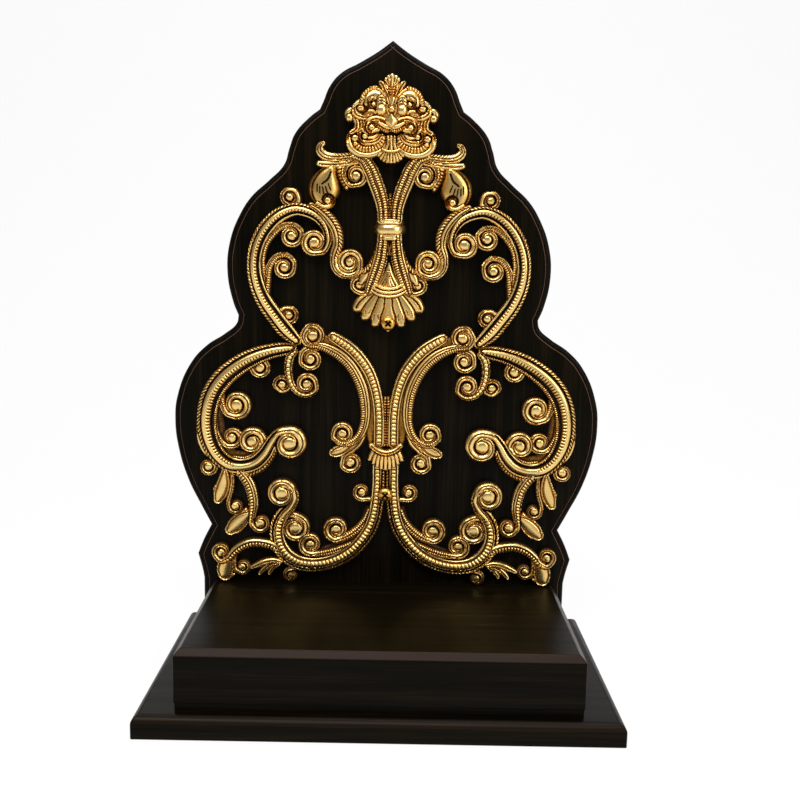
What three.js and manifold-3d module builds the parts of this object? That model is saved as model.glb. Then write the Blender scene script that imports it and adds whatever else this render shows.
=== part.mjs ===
// Deity throne: a dark wooden seat and ogee back panel with brass scrollwork screwed to the panel.
// Millimetres. The throne stands on z = 0, looks along -Y and is symmetric about x = 0.
import * as THREE from 'three';
import { mergeVertices } from 'three/addons/utils/BufferGeometryUtils.js';
import Module from 'manifold-3d';

const wasm = await Module();
wasm.setup();

// Boards
const plinth = {
  width: 245, depth: 146, thickness: 12, frontLip: 7, cornerRadius: 5, nose: 4.5, footSoftening: 1.8,
  belly: 0.6, // how far the upper part of the edge draws in before the nose
};
const seat = { width: 205, depth: 107, rise: 32, chamferRun: 3.5, chamferDrop: 3 };
const spacer = { thickness: 4.2, inset: 1 };
const panel = { width: 247.6, height: 311, thickness: 12, roundOver: 2.5, outlineSteps: 36 };

// Right half of the panel's outline as drawn: distance from the centre line, height over the seat.
// The outline and the brass stretch with the panel's width and height.
const panelOutline = [
  [107.7, 0], [108.6, 5], [111.2, 15], [107.6, 24], [103, 33], [108.7, 44], [116.4, 60],
  [122.2, 80], [123.8, 96], [122.3, 110], [113.8, 130], [104.6, 140], [94, 147], [87.4, 153],
  [86.4, 157.5], [89.4, 165], [92.7, 183], [91, 200], [85.2, 215], [78.6, 225], [68.8, 234],
  [60.2, 243], [57.3, 252], [54.2, 260], [46.1, 269], [40.3, 273.5], [38.3, 278], [34.9, 286],
  [28.9, 293], [18.2, 299], [8.2, 305], [0, 311],
];

// Brass
const relief = { wide: 7, narrow: 5.5, low: 3.6, collar: 9, shell: 5, mask: 7 };
const clearance = 0.3; // between neighbouring castings, and between brass and wood
const volute = { innerShare: 0.3, tipWidth: 1.7, eyeSides: 5, eyeFace: 0.62, winding: 0.9 };
const facetMerge = 0.15; // facets that lie this close to each other become one
const sampling = { turn: 0.85, reach: 20, width: 3 }; // most change per step of a strand
const drawnSteps = { perTurn: 40, perPoint: 12 }; // how finely a curve is drawn before that

// Fasteners
const woodScrew = { headRadius: 4, headDepth: 3, shankRadius: 2, sunk: 0.4, sides: 6 };
const seatScrew = { length: 32, spreadX: 75, spreadY: 36 };
const panelFootScrew = { length: 38, spreadX: 75 };
const panelBackScrew = { length: 32, spreadX: 70, heightInBlock: 14 };
const panScrewSize = {
  headRadius: 4, headHeight: 2.6, shankRadius: 1.9, length: 15, slot: 1.1, slotDepth: 1.3, sides: 10,
  dome: [[0, 1], [0.6, 0.92], [0.92, 0.5], [1, 0]], // shares of the head's radius and height
};
const [shellScrewDrawn, columnScrewDrawn] = [155, 55.5]; // heights over the seat, as drawn

// Places that follow from the sizes above
const plinthTop = plinth.thickness;
const seatTop = plinthTop + seat.rise;
const seatFront = -plinth.depth / 2 + plinth.frontLip;
const panelFront = seatFront + seat.depth;
const panelBack = panelFront + panel.thickness;
const panelMiddle = (panelFront + panelBack) / 2;
const brassBack = panelFront - clearance;
const drawnHalfWidth = Math.max(...panelOutline.map(([x]) => x));
const drawnHeight = panelOutline.at(-1)[1];
const stretchX = panel.width / 2 / drawnHalfWidth;
const stretchZ = panel.height / drawnHeight;
const stretchWidth = Math.sqrt(stretchX * stretchZ);
const shellScrewHeight = shellScrewDrawn * stretchZ;
const columnScrewHeight = columnScrewDrawn * stretchZ;
const panelFootHalf = panelOutline[0][0] * stretchX;

const finishes = {
  stainedWood: new THREE.MeshStandardMaterial({ color: 0x1c1713, roughness: 0.5, metalness: 0 }),
  castBrass: new THREE.MeshStandardMaterial({ color: 0xb48c44, roughness: 0.38, metalness: 1 }),
  brassScrew: new THREE.MeshStandardMaterial({ color: 0xc99a4a, roughness: 0.3, metalness: 1 }),
  steelScrew: new THREE.MeshStandardMaterial({ color: 0x8d9094, roughness: 0.4, metalness: 1 }),
};

// Solids and meshes

function solidFrom(geometry) {
  const bare = new THREE.BufferGeometry().setAttribute('position', geometry.getAttribute('position'));
  if (geometry.index) bare.setIndex(geometry.index);
  const merged = mergeVertices(bare, 1e-4);
  const triVerts = new Uint32Array(merged.index.array);
  const vertProperties = merged.attributes.position.array;
  const solid = new wasm.Manifold(new wasm.Mesh({ numProp: 3, vertProperties, triVerts }));
  return solid.volume() > 0 ? solid : solidFrom(turnedOut(bare));
}

function turnedOut(geometry) {
  const flipped = geometry.index ? geometry.toNonIndexed() : geometry;
  const p = flipped.attributes.position;
  for (let i = 0; i < p.count; i += 3) {
    const b = new THREE.Vector3().fromBufferAttribute(p, i + 1);
    const c = new THREE.Vector3().fromBufferAttribute(p, i + 2);
    p.setXYZ(i + 1, c.x, c.y, c.z);
    p.setXYZ(i + 2, b.x, b.y, b.z);
  }
  return flipped;
}

const union = (solids) => wasm.Manifold.union(solids);
const mirrored = (solid) => solid.mirror([1, 0, 0]);

// The largest body of a cut solid: what a cut leaves beside it is an offcut.
function mainBody(solid) {
  const bodies = solid.decompose();
  return bodies.reduce((best, body) => (body.volume() > best.volume() ? body : best));
}

function meshFrom(solid, name, material) {
  const { vertProperties, triVerts } = solid.getMesh();
  const geometry = new THREE.BufferGeometry();
  geometry.setAttribute('position', new THREE.BufferAttribute(vertProperties, 3));
  geometry.setIndex(new THREE.BufferAttribute(triVerts, 1));
  geometry.computeVertexNormals();
  const mesh = new THREE.Mesh(geometry, material);
  mesh.name = name;
  return mesh;
}

// Rings of equal point counts, joined into a closed body with flat ends.
function loft(rings) {
  const count = rings[0].length;
  const index = [];
  for (let r = 0; r + 1 < rings.length; r++) {
    for (let i = 0; i < count; i++) {
      const a = r * count + i;
      const b = r * count + ((i + 1) % count);
      index.push(a, b, b + count, a, b + count, a + count);
    }
  }
  const last = (rings.length - 1) * count;
  for (let i = 1; i + 1 < count; i++) {
    index.push(0, i + 1, i, last, last + i, last + i + 1);
  }
  const geometry = new THREE.BufferGeometry();
  geometry.setAttribute('position', new THREE.Float32BufferAttribute(rings.flat(2), 3));
  geometry.setIndex(index);
  return solidFrom(geometry);
}

// Boards

// A board's outline with rounded corners; back keeps the rear edge in place when the rest draws in.
function boardRing({ left, right, front, back, radius, z, steps = 2 }) {
  const corners = [[right, back, 0], [left, back, 1], [left, front, 2], [right, front, 3]];
  const ring = [];
  for (const [x, y, quarter] of corners) {
    const cx = x - Math.sign(x) * radius;
    const cy = y + (quarter < 2 ? -radius : radius);
    for (let i = 0; i <= (radius > 0 ? steps : 0); i++) {
      const angle = (quarter + (radius > 0 ? i / steps : 0)) * Math.PI / 2;
      ring.push([cx + radius * Math.cos(angle), cy + radius * Math.sin(angle), z]);
    }
  }
  return ring;
}

// The plinth's edge is a full nose above and a softer one below, with a slight belly between.
function plinthSolid() {
  const { width, depth, thickness, nose, footSoftening, belly, cornerRadius } = plinth;
  const edge = [
    [footSoftening, 0], [0, nose / 2], [belly, thickness - nose / 2], [nose, thickness],
  ];
  return loft(edge.map(([inset, z]) => boardRing({
    left: inset - width / 2, right: width / 2 - inset,
    front: inset - depth / 2, back: depth / 2 - inset, radius: cornerRadius, z,
  })));
}

function spacerSolid() {
  const half = seat.width / 2 - spacer.inset;
  const ring = (z) => boardRing({
    left: -half, right: half, front: seatFront + spacer.inset, back: panelFront, radius: 0, z,
  });
  return loft([ring(plinthTop), ring(plinthTop + spacer.thickness)]);
}

function seatBlockSolid() {
  const half = seat.width / 2;
  const ring = (inset, z) => boardRing({
    left: inset - half, right: half - inset, front: seatFront + inset, back: panelFront, radius: 0, z,
  });
  return loft([
    ring(0, plinthTop + spacer.thickness), ring(0, seatTop - seat.chamferDrop),
    ring(seat.chamferRun, seatTop),
  ]);
}

// A drawn point in the panel's own plane
const onPanel = (x, z) => new THREE.Vector2(x * stretchX, z * stretchZ + seatTop);

function panelSolid() {
  const half = new THREE.SplineCurve(panelOutline.map(([x, z]) => onPanel(x, z)));
  const right = half.getPoints(panel.outlineSteps);
  const foot = new THREE.Vector2(panelFootHalf, plinthTop);
  const side = [foot, ...right];
  const left = side.slice(0, -1).reverse().map((p) => new THREE.Vector2(-p.x, p.y));
  const geometry = new THREE.ExtrudeGeometry(new THREE.Shape([...side, ...left]), {
    depth: panel.thickness - 2 * panel.roundOver, steps: 1, curveSegments: 1,
    bevelEnabled: true, bevelThickness: panel.roundOver, bevelSize: panel.roundOver,
    bevelOffset: -panel.roundOver, bevelSegments: 1,
  });
  geometry.rotateX(Math.PI / 2);
  geometry.translate(0, panelBack - panel.roundOver, 0);
  const solid = solidFrom(geometry);
  // The bevel also draws in the bottom edge, so a square foot fills it down to the plinth.
  const footHeight = 2 * panel.roundOver;
  const square = new THREE.BoxGeometry(
    2 * (panelFootHalf - panel.roundOver), panel.thickness, footHeight,
  );
  square.translate(0, panelMiddle, plinthTop + footHeight / 2);
  return union([solid, solidFrom(square)]);
}

// Screws

// A profile of radius against length, turned about the screw's own axis, head end at the origin.
function turned(profile, sides) {
  const points = profile.map(([r, y]) => new THREE.Vector2(r, y));
  return new THREE.LatheGeometry(points, sides);
}

function woodScrewBody(length, grow = 0) {
  const { headRadius, headDepth, shankRadius, sunk, sides } = woodScrew;
  const tip = 2 * shankRadius;
  const mouth = grow > 0 ? -sunk : sunk; // a clearance hole is open at its mouth, a head sits sunk
  return turned([
    [0, mouth], [headRadius + grow, mouth], [headRadius + grow, sunk + 2 * grow],
    [shankRadius + grow, headDepth + 2 * grow], [shankRadius + grow, length - tip],
    [0, length + grow],
  ], sides);
}

function panScrewBody() {
  const { headRadius, headHeight, shankRadius, length, dome, sides } = panScrewSize;
  return turned([
    ...dome.map(([across, up]) => [headRadius * across, -headHeight * up]),
    [shankRadius, 0], [shankRadius, length - 2 * shankRadius], [0, length],
  ], sides);
}

const turnUp = (geometry, x, y) => geometry.rotateX(Math.PI / 2).translate(x, y, 0);
const turnForward = (geometry, x, y, z) => geometry.rotateX(Math.PI).translate(x, y, z);

const seatScrewPlaces = [
  [-1, -1], [1, -1], [-1, 1], [1, 1],
].map(([sx, sy]) => [sx * seatScrew.spreadX, (seatFront + panelFront) / 2 + sy * seatScrew.spreadY]);
const panelFootPlaces = [-1, 1].map((s) => [s * panelFootScrew.spreadX, panelMiddle]);
const panelBackPlaces = [-1, 0, 1].map((s) => s * panelBackScrew.spreadX);
const panelBackHeight = plinthTop + spacer.thickness + panelBackScrew.heightInBlock;

const seatScrews = (grow) => seatScrewPlaces.map(([x, y]) =>
  solidFrom(turnUp(woodScrewBody(seatScrew.length, grow), x, y)));
const panelFootScrews = (grow) => panelFootPlaces.map(([x, y]) =>
  solidFrom(turnUp(woodScrewBody(panelFootScrew.length, grow), x, y)));
const panelBackScrews = (grow) => panelBackPlaces.map((x) =>
  solidFrom(turnForward(woodScrewBody(panelBackScrew.length, grow), x, panelBack, panelBackHeight)));

// Sections of a strand as [share of the half width, share of the height]
const crowned = [[-1, 0], [-0.62, 1], [0.62, 1], [1, 0]];
const ridged = [[-1, 0], [0, 1], [1, 0]];

// Strands: tapered, crowned strips that follow a curve on the panel and may end in a volute.
// A point is [distance from the centre line, height over the seat, width].

const flat = (x, z, w) => new THREE.Vector3(x, z, w);
const stretched = ([x, z, w = 0]) => flat(x * stretchX, z * stretchZ, w * stretchWidth);

// Keeps the points of a finely drawn curve where it has turned, run or widened far enough.
function thinned(points) {
  const kept = [points[0]];
  let heading = null;
  let reach = 0;
  for (let i = 1; i < points.length; i++) {
    const dx = points[i].x - points[i - 1].x;
    const dz = points[i].y - points[i - 1].y;
    const angle = Math.atan2(dz, dx);
    reach += Math.hypot(dx, dz);
    heading ??= angle;
    const turn = Math.abs(Math.atan2(Math.sin(angle - heading), Math.cos(angle - heading)));
    const wider = Math.abs(points[i].z - kept.at(-1).z);
    const changed = turn > sampling.turn || reach > sampling.reach || wider > sampling.width;
    if (changed || i === points.length - 1) {
      kept.push(points[i]);
      heading = angle;
      reach = 0;
    }
  }
  return kept;
}

// The spiral of a volute: from the strand's end it winds in round its centre.
function spiral(start, { at, turns, way }) {
  const { x: cx, y: cz } = stretched(at);
  const radius = Math.hypot(start.x - cx, start.y - cz);
  const from = Math.atan2(start.y - cz, start.x - cx);
  const steps = Math.ceil(turns * drawnSteps.perTurn);
  const points = [];
  for (let i = 0; i <= steps; i++) {
    const share = i / steps;
    const r = radius * (1 - (1 - volute.innerShare) * share ** volute.winding);
    const angle = from + way * share * turns * 2 * Math.PI;
    const width = start.z + (volute.tipWidth - start.z) * share;
    points.push(flat(cx + r * Math.cos(angle), cz + r * Math.sin(angle), width));
  }
  return points;
}

// A strip along the points: flat back on the panel, crowned front.
function strip(points, rises, grow, profile) {
  const rings = points.map((p, i) => {
    const before = points[Math.max(i - 1, 0)];
    const after = points[Math.min(i + 1, points.length - 1)];
    const along = new THREE.Vector2(after.x - before.x, after.y - before.y).normalize();
    const half = p.z / 2 + grow;
    const rise = rises(p.z) + grow;
    const pull = i === 0 ? -grow : i === points.length - 1 ? grow : 0;
    return profile.map(([across, up]) => [
      p.x + pull * along.x - across * half * along.y,
      brassBack + (up === 0 ? grow : -up * rise),
      seatTop + p.y + pull * along.y + across * half * along.x,
    ]);
  });
  return loft(rings);
}

// The eye of a volute: a stud that tapers towards its face.
function stud({ at, eye }, height, grow) {
  const { x, y: z } = stretched(at);
  const r = eye * stretchWidth + grow;
  const h = height + grow;
  const geometry = turned([[0, -grow], [r, -grow], [r * volute.eyeFace, h], [0, h]], volute.eyeSides);
  geometry.rotateX(Math.PI);
  geometry.translate(x, brassBack, seatTop + z);
  return solidFrom(geometry);
}

// A strand rises as high as it is wide, up to its height; one on top of another starts at its base.
function strand({ path, curl, height = relief.narrow, base = 0 }, grow = 0) {
  const rises = (width) => Math.min(height, base + width);
  const curve = new THREE.CatmullRomCurve3(path.map(stretched), false, 'centripetal');
  const drawn = curve.getPoints(path.length * drawnSteps.perPoint);
  const section = height === relief.wide ? crowned : ridged;
  const solids = [strip(thinned(drawn), rises, grow, section)];
  if (curl) {
    const start = drawn[drawn.length - 2];
    if (curl.turns > 0) solids.push(strip(thinned(spiral(start, curl)), rises, grow, ridged));
    solids.push(stud(curl, height, grow));
  }
  return solids;
}

const strands = (list, grow = 0) => union(list.flatMap((item) => strand(item, grow)));

// Right-hand castings, as lists of strands

const upperWing = [
  { path: [[50.5, 142.5, 5], [58.5, 150, 9.5], [64.5, 157.5, 9.5], [70.5, 166, 9], [74.2, 174, 8.5],
    [76.2, 183, 8], [76, 192, 8], [73.3, 201, 8], [68.3, 209, 8], [61.5, 215, 7.5], [53.5, 218, 7],
    [46.5, 217, 6.5], [40, 213.5, 6], [35.8, 207.5, 5], [34.5, 200.5, 4.2], [37, 195, 3.6]],
    curl: { at: [42, 199.5], turns: 1, way: -1, eye: 2.6 }, height: relief.wide },
  { path: [[71, 190, 2], [69.5, 198, 3.4], [65, 204, 3.4], [59.5, 208.7, 3.2], [54, 209.8, 3],
    [49.3, 207.5, 2.8]], curl: { at: [55, 203.2], turns: 1, way: -1, eye: 2.2 } },
  { path: [[67, 160, 3], [69.5, 168, 5], [69.3, 177, 5.5], [67.5, 186, 4], [63.5, 191.3, 3.4],
    [58.5, 193, 3], [53.8, 190.8, 2.8]], curl: { at: [59, 185.5], turns: 1, way: -1, eye: 2.2 } },
  { path: [[62, 151, 3], [62.7, 157.5, 2.8], [60, 162, 2.6], [56, 163, 2.4]],
    curl: { at: [56, 158.6], turns: 1, way: -1, eye: 1.8 } },
  { path: [[53, 219, 3.5], [51.3, 223, 3], [53, 227.5, 2.6], [57, 229, 2.4]],
    curl: { at: [56.3, 224.6], turns: 1, way: 1, eye: 1.8 } },
];

const wingScroll = [
  { path: [[45, 221, 3], [39.5, 218, 5], [34, 213, 6.5], [30, 206.5, 6.5], [29, 199, 6], [31, 192.5, 5],
    [30.8, 187, 4.4], [27.8, 183.3, 4], [22.8, 181.8, 3.8], [18, 184, 3.5], [15.9, 189, 3.2]],
    curl: { at: [22.3, 189], turns: 1, way: 1, eye: 2.6 }, height: relief.wide },
];

const pod = [
  { path: [[35.5, 240.5, 3], [38, 236, 11], [39.2, 231, 16], [38.6, 226, 13.5], [37.5, 221.5, 7]],
    height: relief.wide },
  { path: [[41, 220.5, 4], [36.5, 219.8, 3], [32.6, 221.5, 2.6]],
    curl: { at: [36, 224], turns: 1, way: 1, eye: 1.6 }, height: relief.wide },
];

const leafSpray = [
  { path: [[26, 247.8, 3], [31.5, 246.6, 3.6], [37, 246, 4], [41, 248, 4], [41.8, 251.5, 3.6],
    [39.3, 254, 3], [36.6, 253.6, 2]] },
  { path: [[28.5, 245.6, 2], [33, 243.7, 3.4], [38, 242.7, 3.6], [43.6, 242.6, 2.6]] },
];

const arch = [
  { path: [[33.5, 147.8, 5.5], [28, 144.6, 6.5], [21.5, 140.3, 7], [15.5, 134.3, 7], [10.5, 127, 6.8],
    [7.3, 119, 6.6], [5.2, 110, 6.5], [4.3, 100, 6.5], [4.2, 90, 6.5], [4.2, 83.5, 6.5]],
    height: relief.wide },
  { path: [[46, 141.5, 3], [41, 141.7, 4], [35.5, 140.3, 5.5], [28, 136.5, 6.5], [21.5, 130.5, 6.6],
    [17, 123.5, 6.6], [14, 116, 6.6], [12.5, 108, 6.4], [12.2, 101, 6], [13.2, 94.5, 5.5],
    [16, 89, 4.6], [20, 85.6, 3.6], [24.8, 84.6, 3.2], [29, 86.8, 3]],
    curl: { at: [24.3, 90.2], turns: 1, way: 1, eye: 2.2 } },
  { path: [[15, 88, 2.4], [20.5, 83, 3.6], [26, 80.5, 5.4], [29.6, 79.6, 3]] },
  { path: [[12.8, 91.5, 3], [15.5, 85.5, 4], [19.5, 80.8, 3.6], [23.8, 76.8, 3.2], [25, 72.5, 3]],
    curl: { at: [19.4, 73.8], turns: 1, way: -1, eye: 2.2 } },
  { path: [[43, 140.8, 3], [47.2, 143.4, 3.4], [48.4, 147.8, 3.2], [46, 151.5, 3]],
    curl: { at: [42, 147], turns: 1, way: 1, eye: 2.4 } },
  { path: [[38, 140.2, 4], [44, 140, 3.8], [48.6, 137.4, 3.4], [49.6, 133, 3]],
    curl: { at: [43.7, 134], turns: 1, way: -1, eye: 2.2 } },
];

const junctionDrop = [
  { path: [[52.2, 138.5, 3], [55.5, 135, 5], [56.7, 129.5, 5], [56.3, 124, 4.6], [54.6, 118.6, 3.6],
    [51, 114.8, 3.4], [45.8, 113.2, 3], [41.6, 115.4, 2.8]],
    curl: { at: [45.7, 119.2], turns: 1, way: 1, eye: 2.2 } },
  { path: [[55.5, 121, 3], [56, 117, 2.8], [59, 114.8, 2.6]],
    curl: { at: [59, 118.9], turns: 1, way: 1, eye: 1.8 } },
];

const lowerScroll = [
  { path: [[53, 140, 4], [59, 139, 7.5], [67, 137.4, 8.5], [76, 134.4, 9.5], [86, 129.2, 10],
    [95, 121.7, 10], [101.3, 112.5, 10], [104.3, 101.8, 10], [104.3, 91.5, 10], [102, 82.5, 10],
    [97.5, 75, 10], [91, 70.3, 10.5], [83, 68.8, 10.5], [75.5, 71, 10], [69.6, 77, 9],
    [66.4, 85, 7], [62.6, 90.8, 5.2], [57, 92.3, 4.2], [51.5, 89.8, 3.6]],
    curl: { at: [56.3, 84.4], turns: 1, way: -1, eye: 3.2 }, height: relief.wide },
  { path: [[83, 72.5, 3], [76.5, 75, 4], [72, 81, 4], [72.2, 87, 3.4], [77, 91.6, 3]],
    curl: { at: [78.3, 84.3], turns: 1, way: -1, eye: 2.4 } },
  { path: [[90.5, 122, 2.4], [94, 114.5, 4], [95.5, 107.5, 4], [94, 102, 3.6], [89.8, 98.8, 3.2]],
    curl: { at: [87.5, 105.5], turns: 1, way: -1, eye: 2.8 } },
  { path: [[99.4, 104, 2.4], [99.2, 97, 3.4], [97.8, 90, 3.4], [94.8, 84.4, 3.2], [90.2, 81.8, 3]],
    curl: { at: [89.6, 86.8], turns: 1, way: -1, eye: 2 } },
  { path: [[80.5, 134, 3], [78.3, 130.5, 2.8], [77.4, 126.5, 2.6]],
    curl: { at: [72.2, 128.3], turns: 1, way: -1, eye: 2.2 } },
  { path: [[108, 97, 3], [108.4, 88, 3.4], [106.8, 80, 3.2], [104, 75, 2.8], [100.8, 71.5, 2.6],
    [100.2, 67.6, 2.4]], curl: { at: [104.6, 67.8], turns: 1, way: 1, eye: 1.9 } },
];

const dropSprig = [
  { path: [[86, 66.5, 5], [82.3, 62.5, 7], [79, 57.5, 7.5], [77, 51, 7.5], [76.4, 44, 7], [76.8, 38.5, 5],
    [77, 33.5, 3.6]], curl: { at: [72.6, 33.4], turns: 1, way: -1, eye: 2 } },
  { path: [[95, 67, 3.6], [93.4, 61.5, 5], [94.4, 56, 6.6], [96.6, 51, 6], [97.8, 48.8, 3]] },
  { path: [[79, 41.6, 3], [83.5, 39.9, 3], [88.6, 39.8, 2.8], [91.8, 43, 2.6]],
    curl: { at: [87.2, 44.6], turns: 1, way: 1, eye: 1.8 } },
  { path: [[78, 40, 3], [82, 36.6, 6.6], [86, 33.2, 8.2], [89.5, 31, 5]] },
];

const footScroll = [
  { path: [[4.3, 69, 6], [4.3, 60, 6.4], [4.5, 50, 6.6], [5.6, 41.5, 7.4], [8, 34.2, 8], [12, 27.4, 8],
    [17.8, 21, 8], [24.7, 16, 8], [32.6, 13, 8.2], [42, 11.5, 8.4], [50.3, 12.2, 8.6], [56.6, 15.4, 8.6],
    [61, 20.8, 8.4], [63.4, 28, 8.2], [63.2, 35.4, 8], [60.2, 41.8, 7.6], [55.6, 46.2, 6.4],
    [52.5, 51, 5], [53, 56.5, 4.4], [57.5, 60.5, 4]],
    curl: { at: [60.2, 54], turns: 1, way: -1, eye: 3 }, height: relief.wide },
  { path: [[7.6, 47, 3], [10.2, 40.4, 4], [14.8, 34.4, 4], [20.3, 30, 3.8], [26, 27, 3.4], [31, 27.2, 3]],
    curl: { at: [28, 32.8], turns: 1, way: 1, eye: 2.3 } },
  { path: [[17, 25, 3], [23, 21.6, 4], [30.6, 18.9, 4], [38.4, 17.7, 3.8], [44.6, 17.9, 3.2],
    [48.8, 21, 3]], curl: { at: [43.2, 23.6], turns: 1, way: 1, eye: 2.2 } },
  { path: [[61, 38.5, 3], [57, 40.3, 3.2], [52, 40.2, 3], [47.4, 37.8, 2.8]],
    curl: { at: [51.6, 33.2], turns: 1, way: 1, eye: 3.2 } },
  { path: [[8, 51.5, 2.6], [11.6, 51.2, 2.6], [15, 53.8, 2.4]],
    curl: { at: [11.8, 55.4], turns: 1, way: 1, eye: 1.7 } },
];

const footSpray = [
  { path: [[59, 16, 3], [63.6, 19, 4.4], [69, 21.4, 4.6], [75, 22, 4.6], [81.8, 21, 4.6], [87.6, 18.4, 4.6],
    [92.4, 14.8, 4.2], [96.6, 12.2, 3.4], [100.6, 13.6, 2.8]],
    curl: { at: [97.2, 16.8], turns: 1, way: 1, eye: 1.9 } },
  { path: [[90.5, 14.5, 3], [91.6, 10, 7], [92, 6.4, 8.2], [92, 2.6, 5.6]] },
  { path: [[88.4, 15, 3], [88.8, 9.8, 3], [87, 5.6, 2.8], [83.6, 4.1, 2.6], [80.4, 6, 2.4]],
    curl: { at: [83.8, 8], turns: 0.9, way: 1, eye: 1.7 } },
  { path: [[53.5, 12.5, 3], [60, 12.4, 2.8], [66, 12, 3], [71, 10, 3.6], [76.6, 8.2, 2.6]] },
  { path: [[66.5, 11.6, 2.6], [70.2, 8, 3.2], [72.8, 4, 2.4]] },
];

// Castings on the centre line: right-hand strands are mirrored, centred ones are drawn once.

const stemFork = {
  centred: [{ path: [[0, 229, 1.4], [0, 222, 3.4], [0, 213.5, 3.4]], height: relief.low }],
  sides: [
  { path: [[20, 246.5, 4], [14.5, 245.3, 6.5], [9.8, 240, 8], [6.9, 233, 8], [5, 225.5, 7.5],
    [4.4, 213.5, 6.6]], height: relief.wide },
  { path: [[11.5, 241, 3], [14.5, 244, 4], [20, 245, 4], [25, 242.3, 3.6], [26, 237, 3], [23, 232.3, 2.8]],
    curl: { at: [19.5, 237], turns: 1, way: -1, eye: 2.2 } },
  { path: [[27.5, 243, 3], [27.5, 238, 4.4], [25.3, 230, 1.5]] },
  ],
};

const stemSkirt = {
  centred: [{ path: [[0, 204, 3], [0, 197, 3], [0, 190.5, 1.4]], height: relief.low }],
  sides: [
  { path: [[3.9, 204, 6.8], [4.4, 197, 7], [6, 189.5, 7.8], [8.4, 183.5, 8], [10, 178, 7],
    [11.8, 171.5, 4.5]], height: relief.wide },
  { path: [[15.8, 185.5, 2.4], [13.2, 182, 3.4], [12.2, 177.5, 3], [14, 172.8, 2.8]],
    curl: { at: [16.6, 176.6], turns: 1, way: 1, eye: 2 } },
  ],
};

// The band that ties the stems: half of a turned ring, as [radius, height over the seat]
const stemCollar = {
  outline: [[7.6, 202.4], [7.8, 204.4], [9, 205], [9.5, 207.3], [9, 209.7], [7.8, 210.3], [8, 212.9]],
  depth: 0.95, // share of the radius that it stands out from the panel
  sides: 12,
};

const shell = {
  centred: [
    { path: [[0, 187.5, 1.6], [0, 182, 6], [0, 177, 12], [0, 172, 15]], height: relief.shell },
    { path: [[-8, 176.3, 2.2], [-4, 174, 2.6], [0, 173.3, 2.6], [4, 174, 2.6], [8, 176.3, 2.2]],
      height: 6.4, base: relief.low },
    { path: [[-9.6, 173, 2.4], [-5, 170.4, 2.8], [0, 169.6, 2.8], [5, 170.4, 2.8], [9.6, 173, 2.4]],
      height: 6.4, base: relief.low },
    { path: [[0, 170, 5], [0, 163, 6], [0, 156.5, 8.6], [0, 151.6, 7]], height: relief.shell },
  ],
  sides: [
    { path: [[2.6, 170.5, 4], [4.6, 163, 5.6], [6.8, 156, 5.6], [7.6, 153, 3]], height: relief.shell },
    { path: [[4.6, 171, 4], [8.8, 165, 5.6], [12.4, 159.4, 5.4], [13.6, 157.4, 3]], height: relief.shell },
    { path: [[6.6, 172, 4], [11.6, 168.4, 5.4], [16.6, 164.2, 6], [19, 162, 3.4]], height: relief.shell },
  ],
};

const clasp = {
  base: relief.narrow,
  centred: [
    { path: [[-8.2, 84.2, 3], [-4.2, 81, 3.4], [0, 79.9, 3.4], [4.2, 81, 3.4], [8.2, 84.2, 3]],
      height: relief.collar },
    { path: [[0, 80, 3], [0, 75, 3.6], [0, 70.4, 2.4]], height: relief.wide },
  ],
  sides: [
    { path: [[2.3, 80, 2.6], [3.5, 75.4, 3.2], [4.5, 71.8, 2.2]], height: relief.wide },
    { path: [[4.4, 80.8, 2.6], [6.4, 76.8, 3.2], [7.5, 74, 2.2]], height: relief.wide },
    { path: [[6.4, 82, 2.6], [8.5, 79, 3], [9.8, 76.6, 2]], height: relief.wide },
  ],
};

const maskOutline = [
  [0, 292.4], [2.6, 291.6], [3.4, 288.8], [6.4, 288.6], [7.4, 285.8], [10.5, 285.2], [14.2, 282.2],
  [16, 278.8], [19, 277], [21.4, 274.2], [24.6, 272.4], [25.2, 269.6], [23.4, 267.4], [20.6, 266.4],
  [21.4, 263.8], [24.2, 261.6], [25.2, 257.6], [24, 253.2], [20.8, 249.8], [15.5, 247.6], [10.5, 247.2],
  [7, 249.4], [4.6, 248], [0, 245],
];

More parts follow.
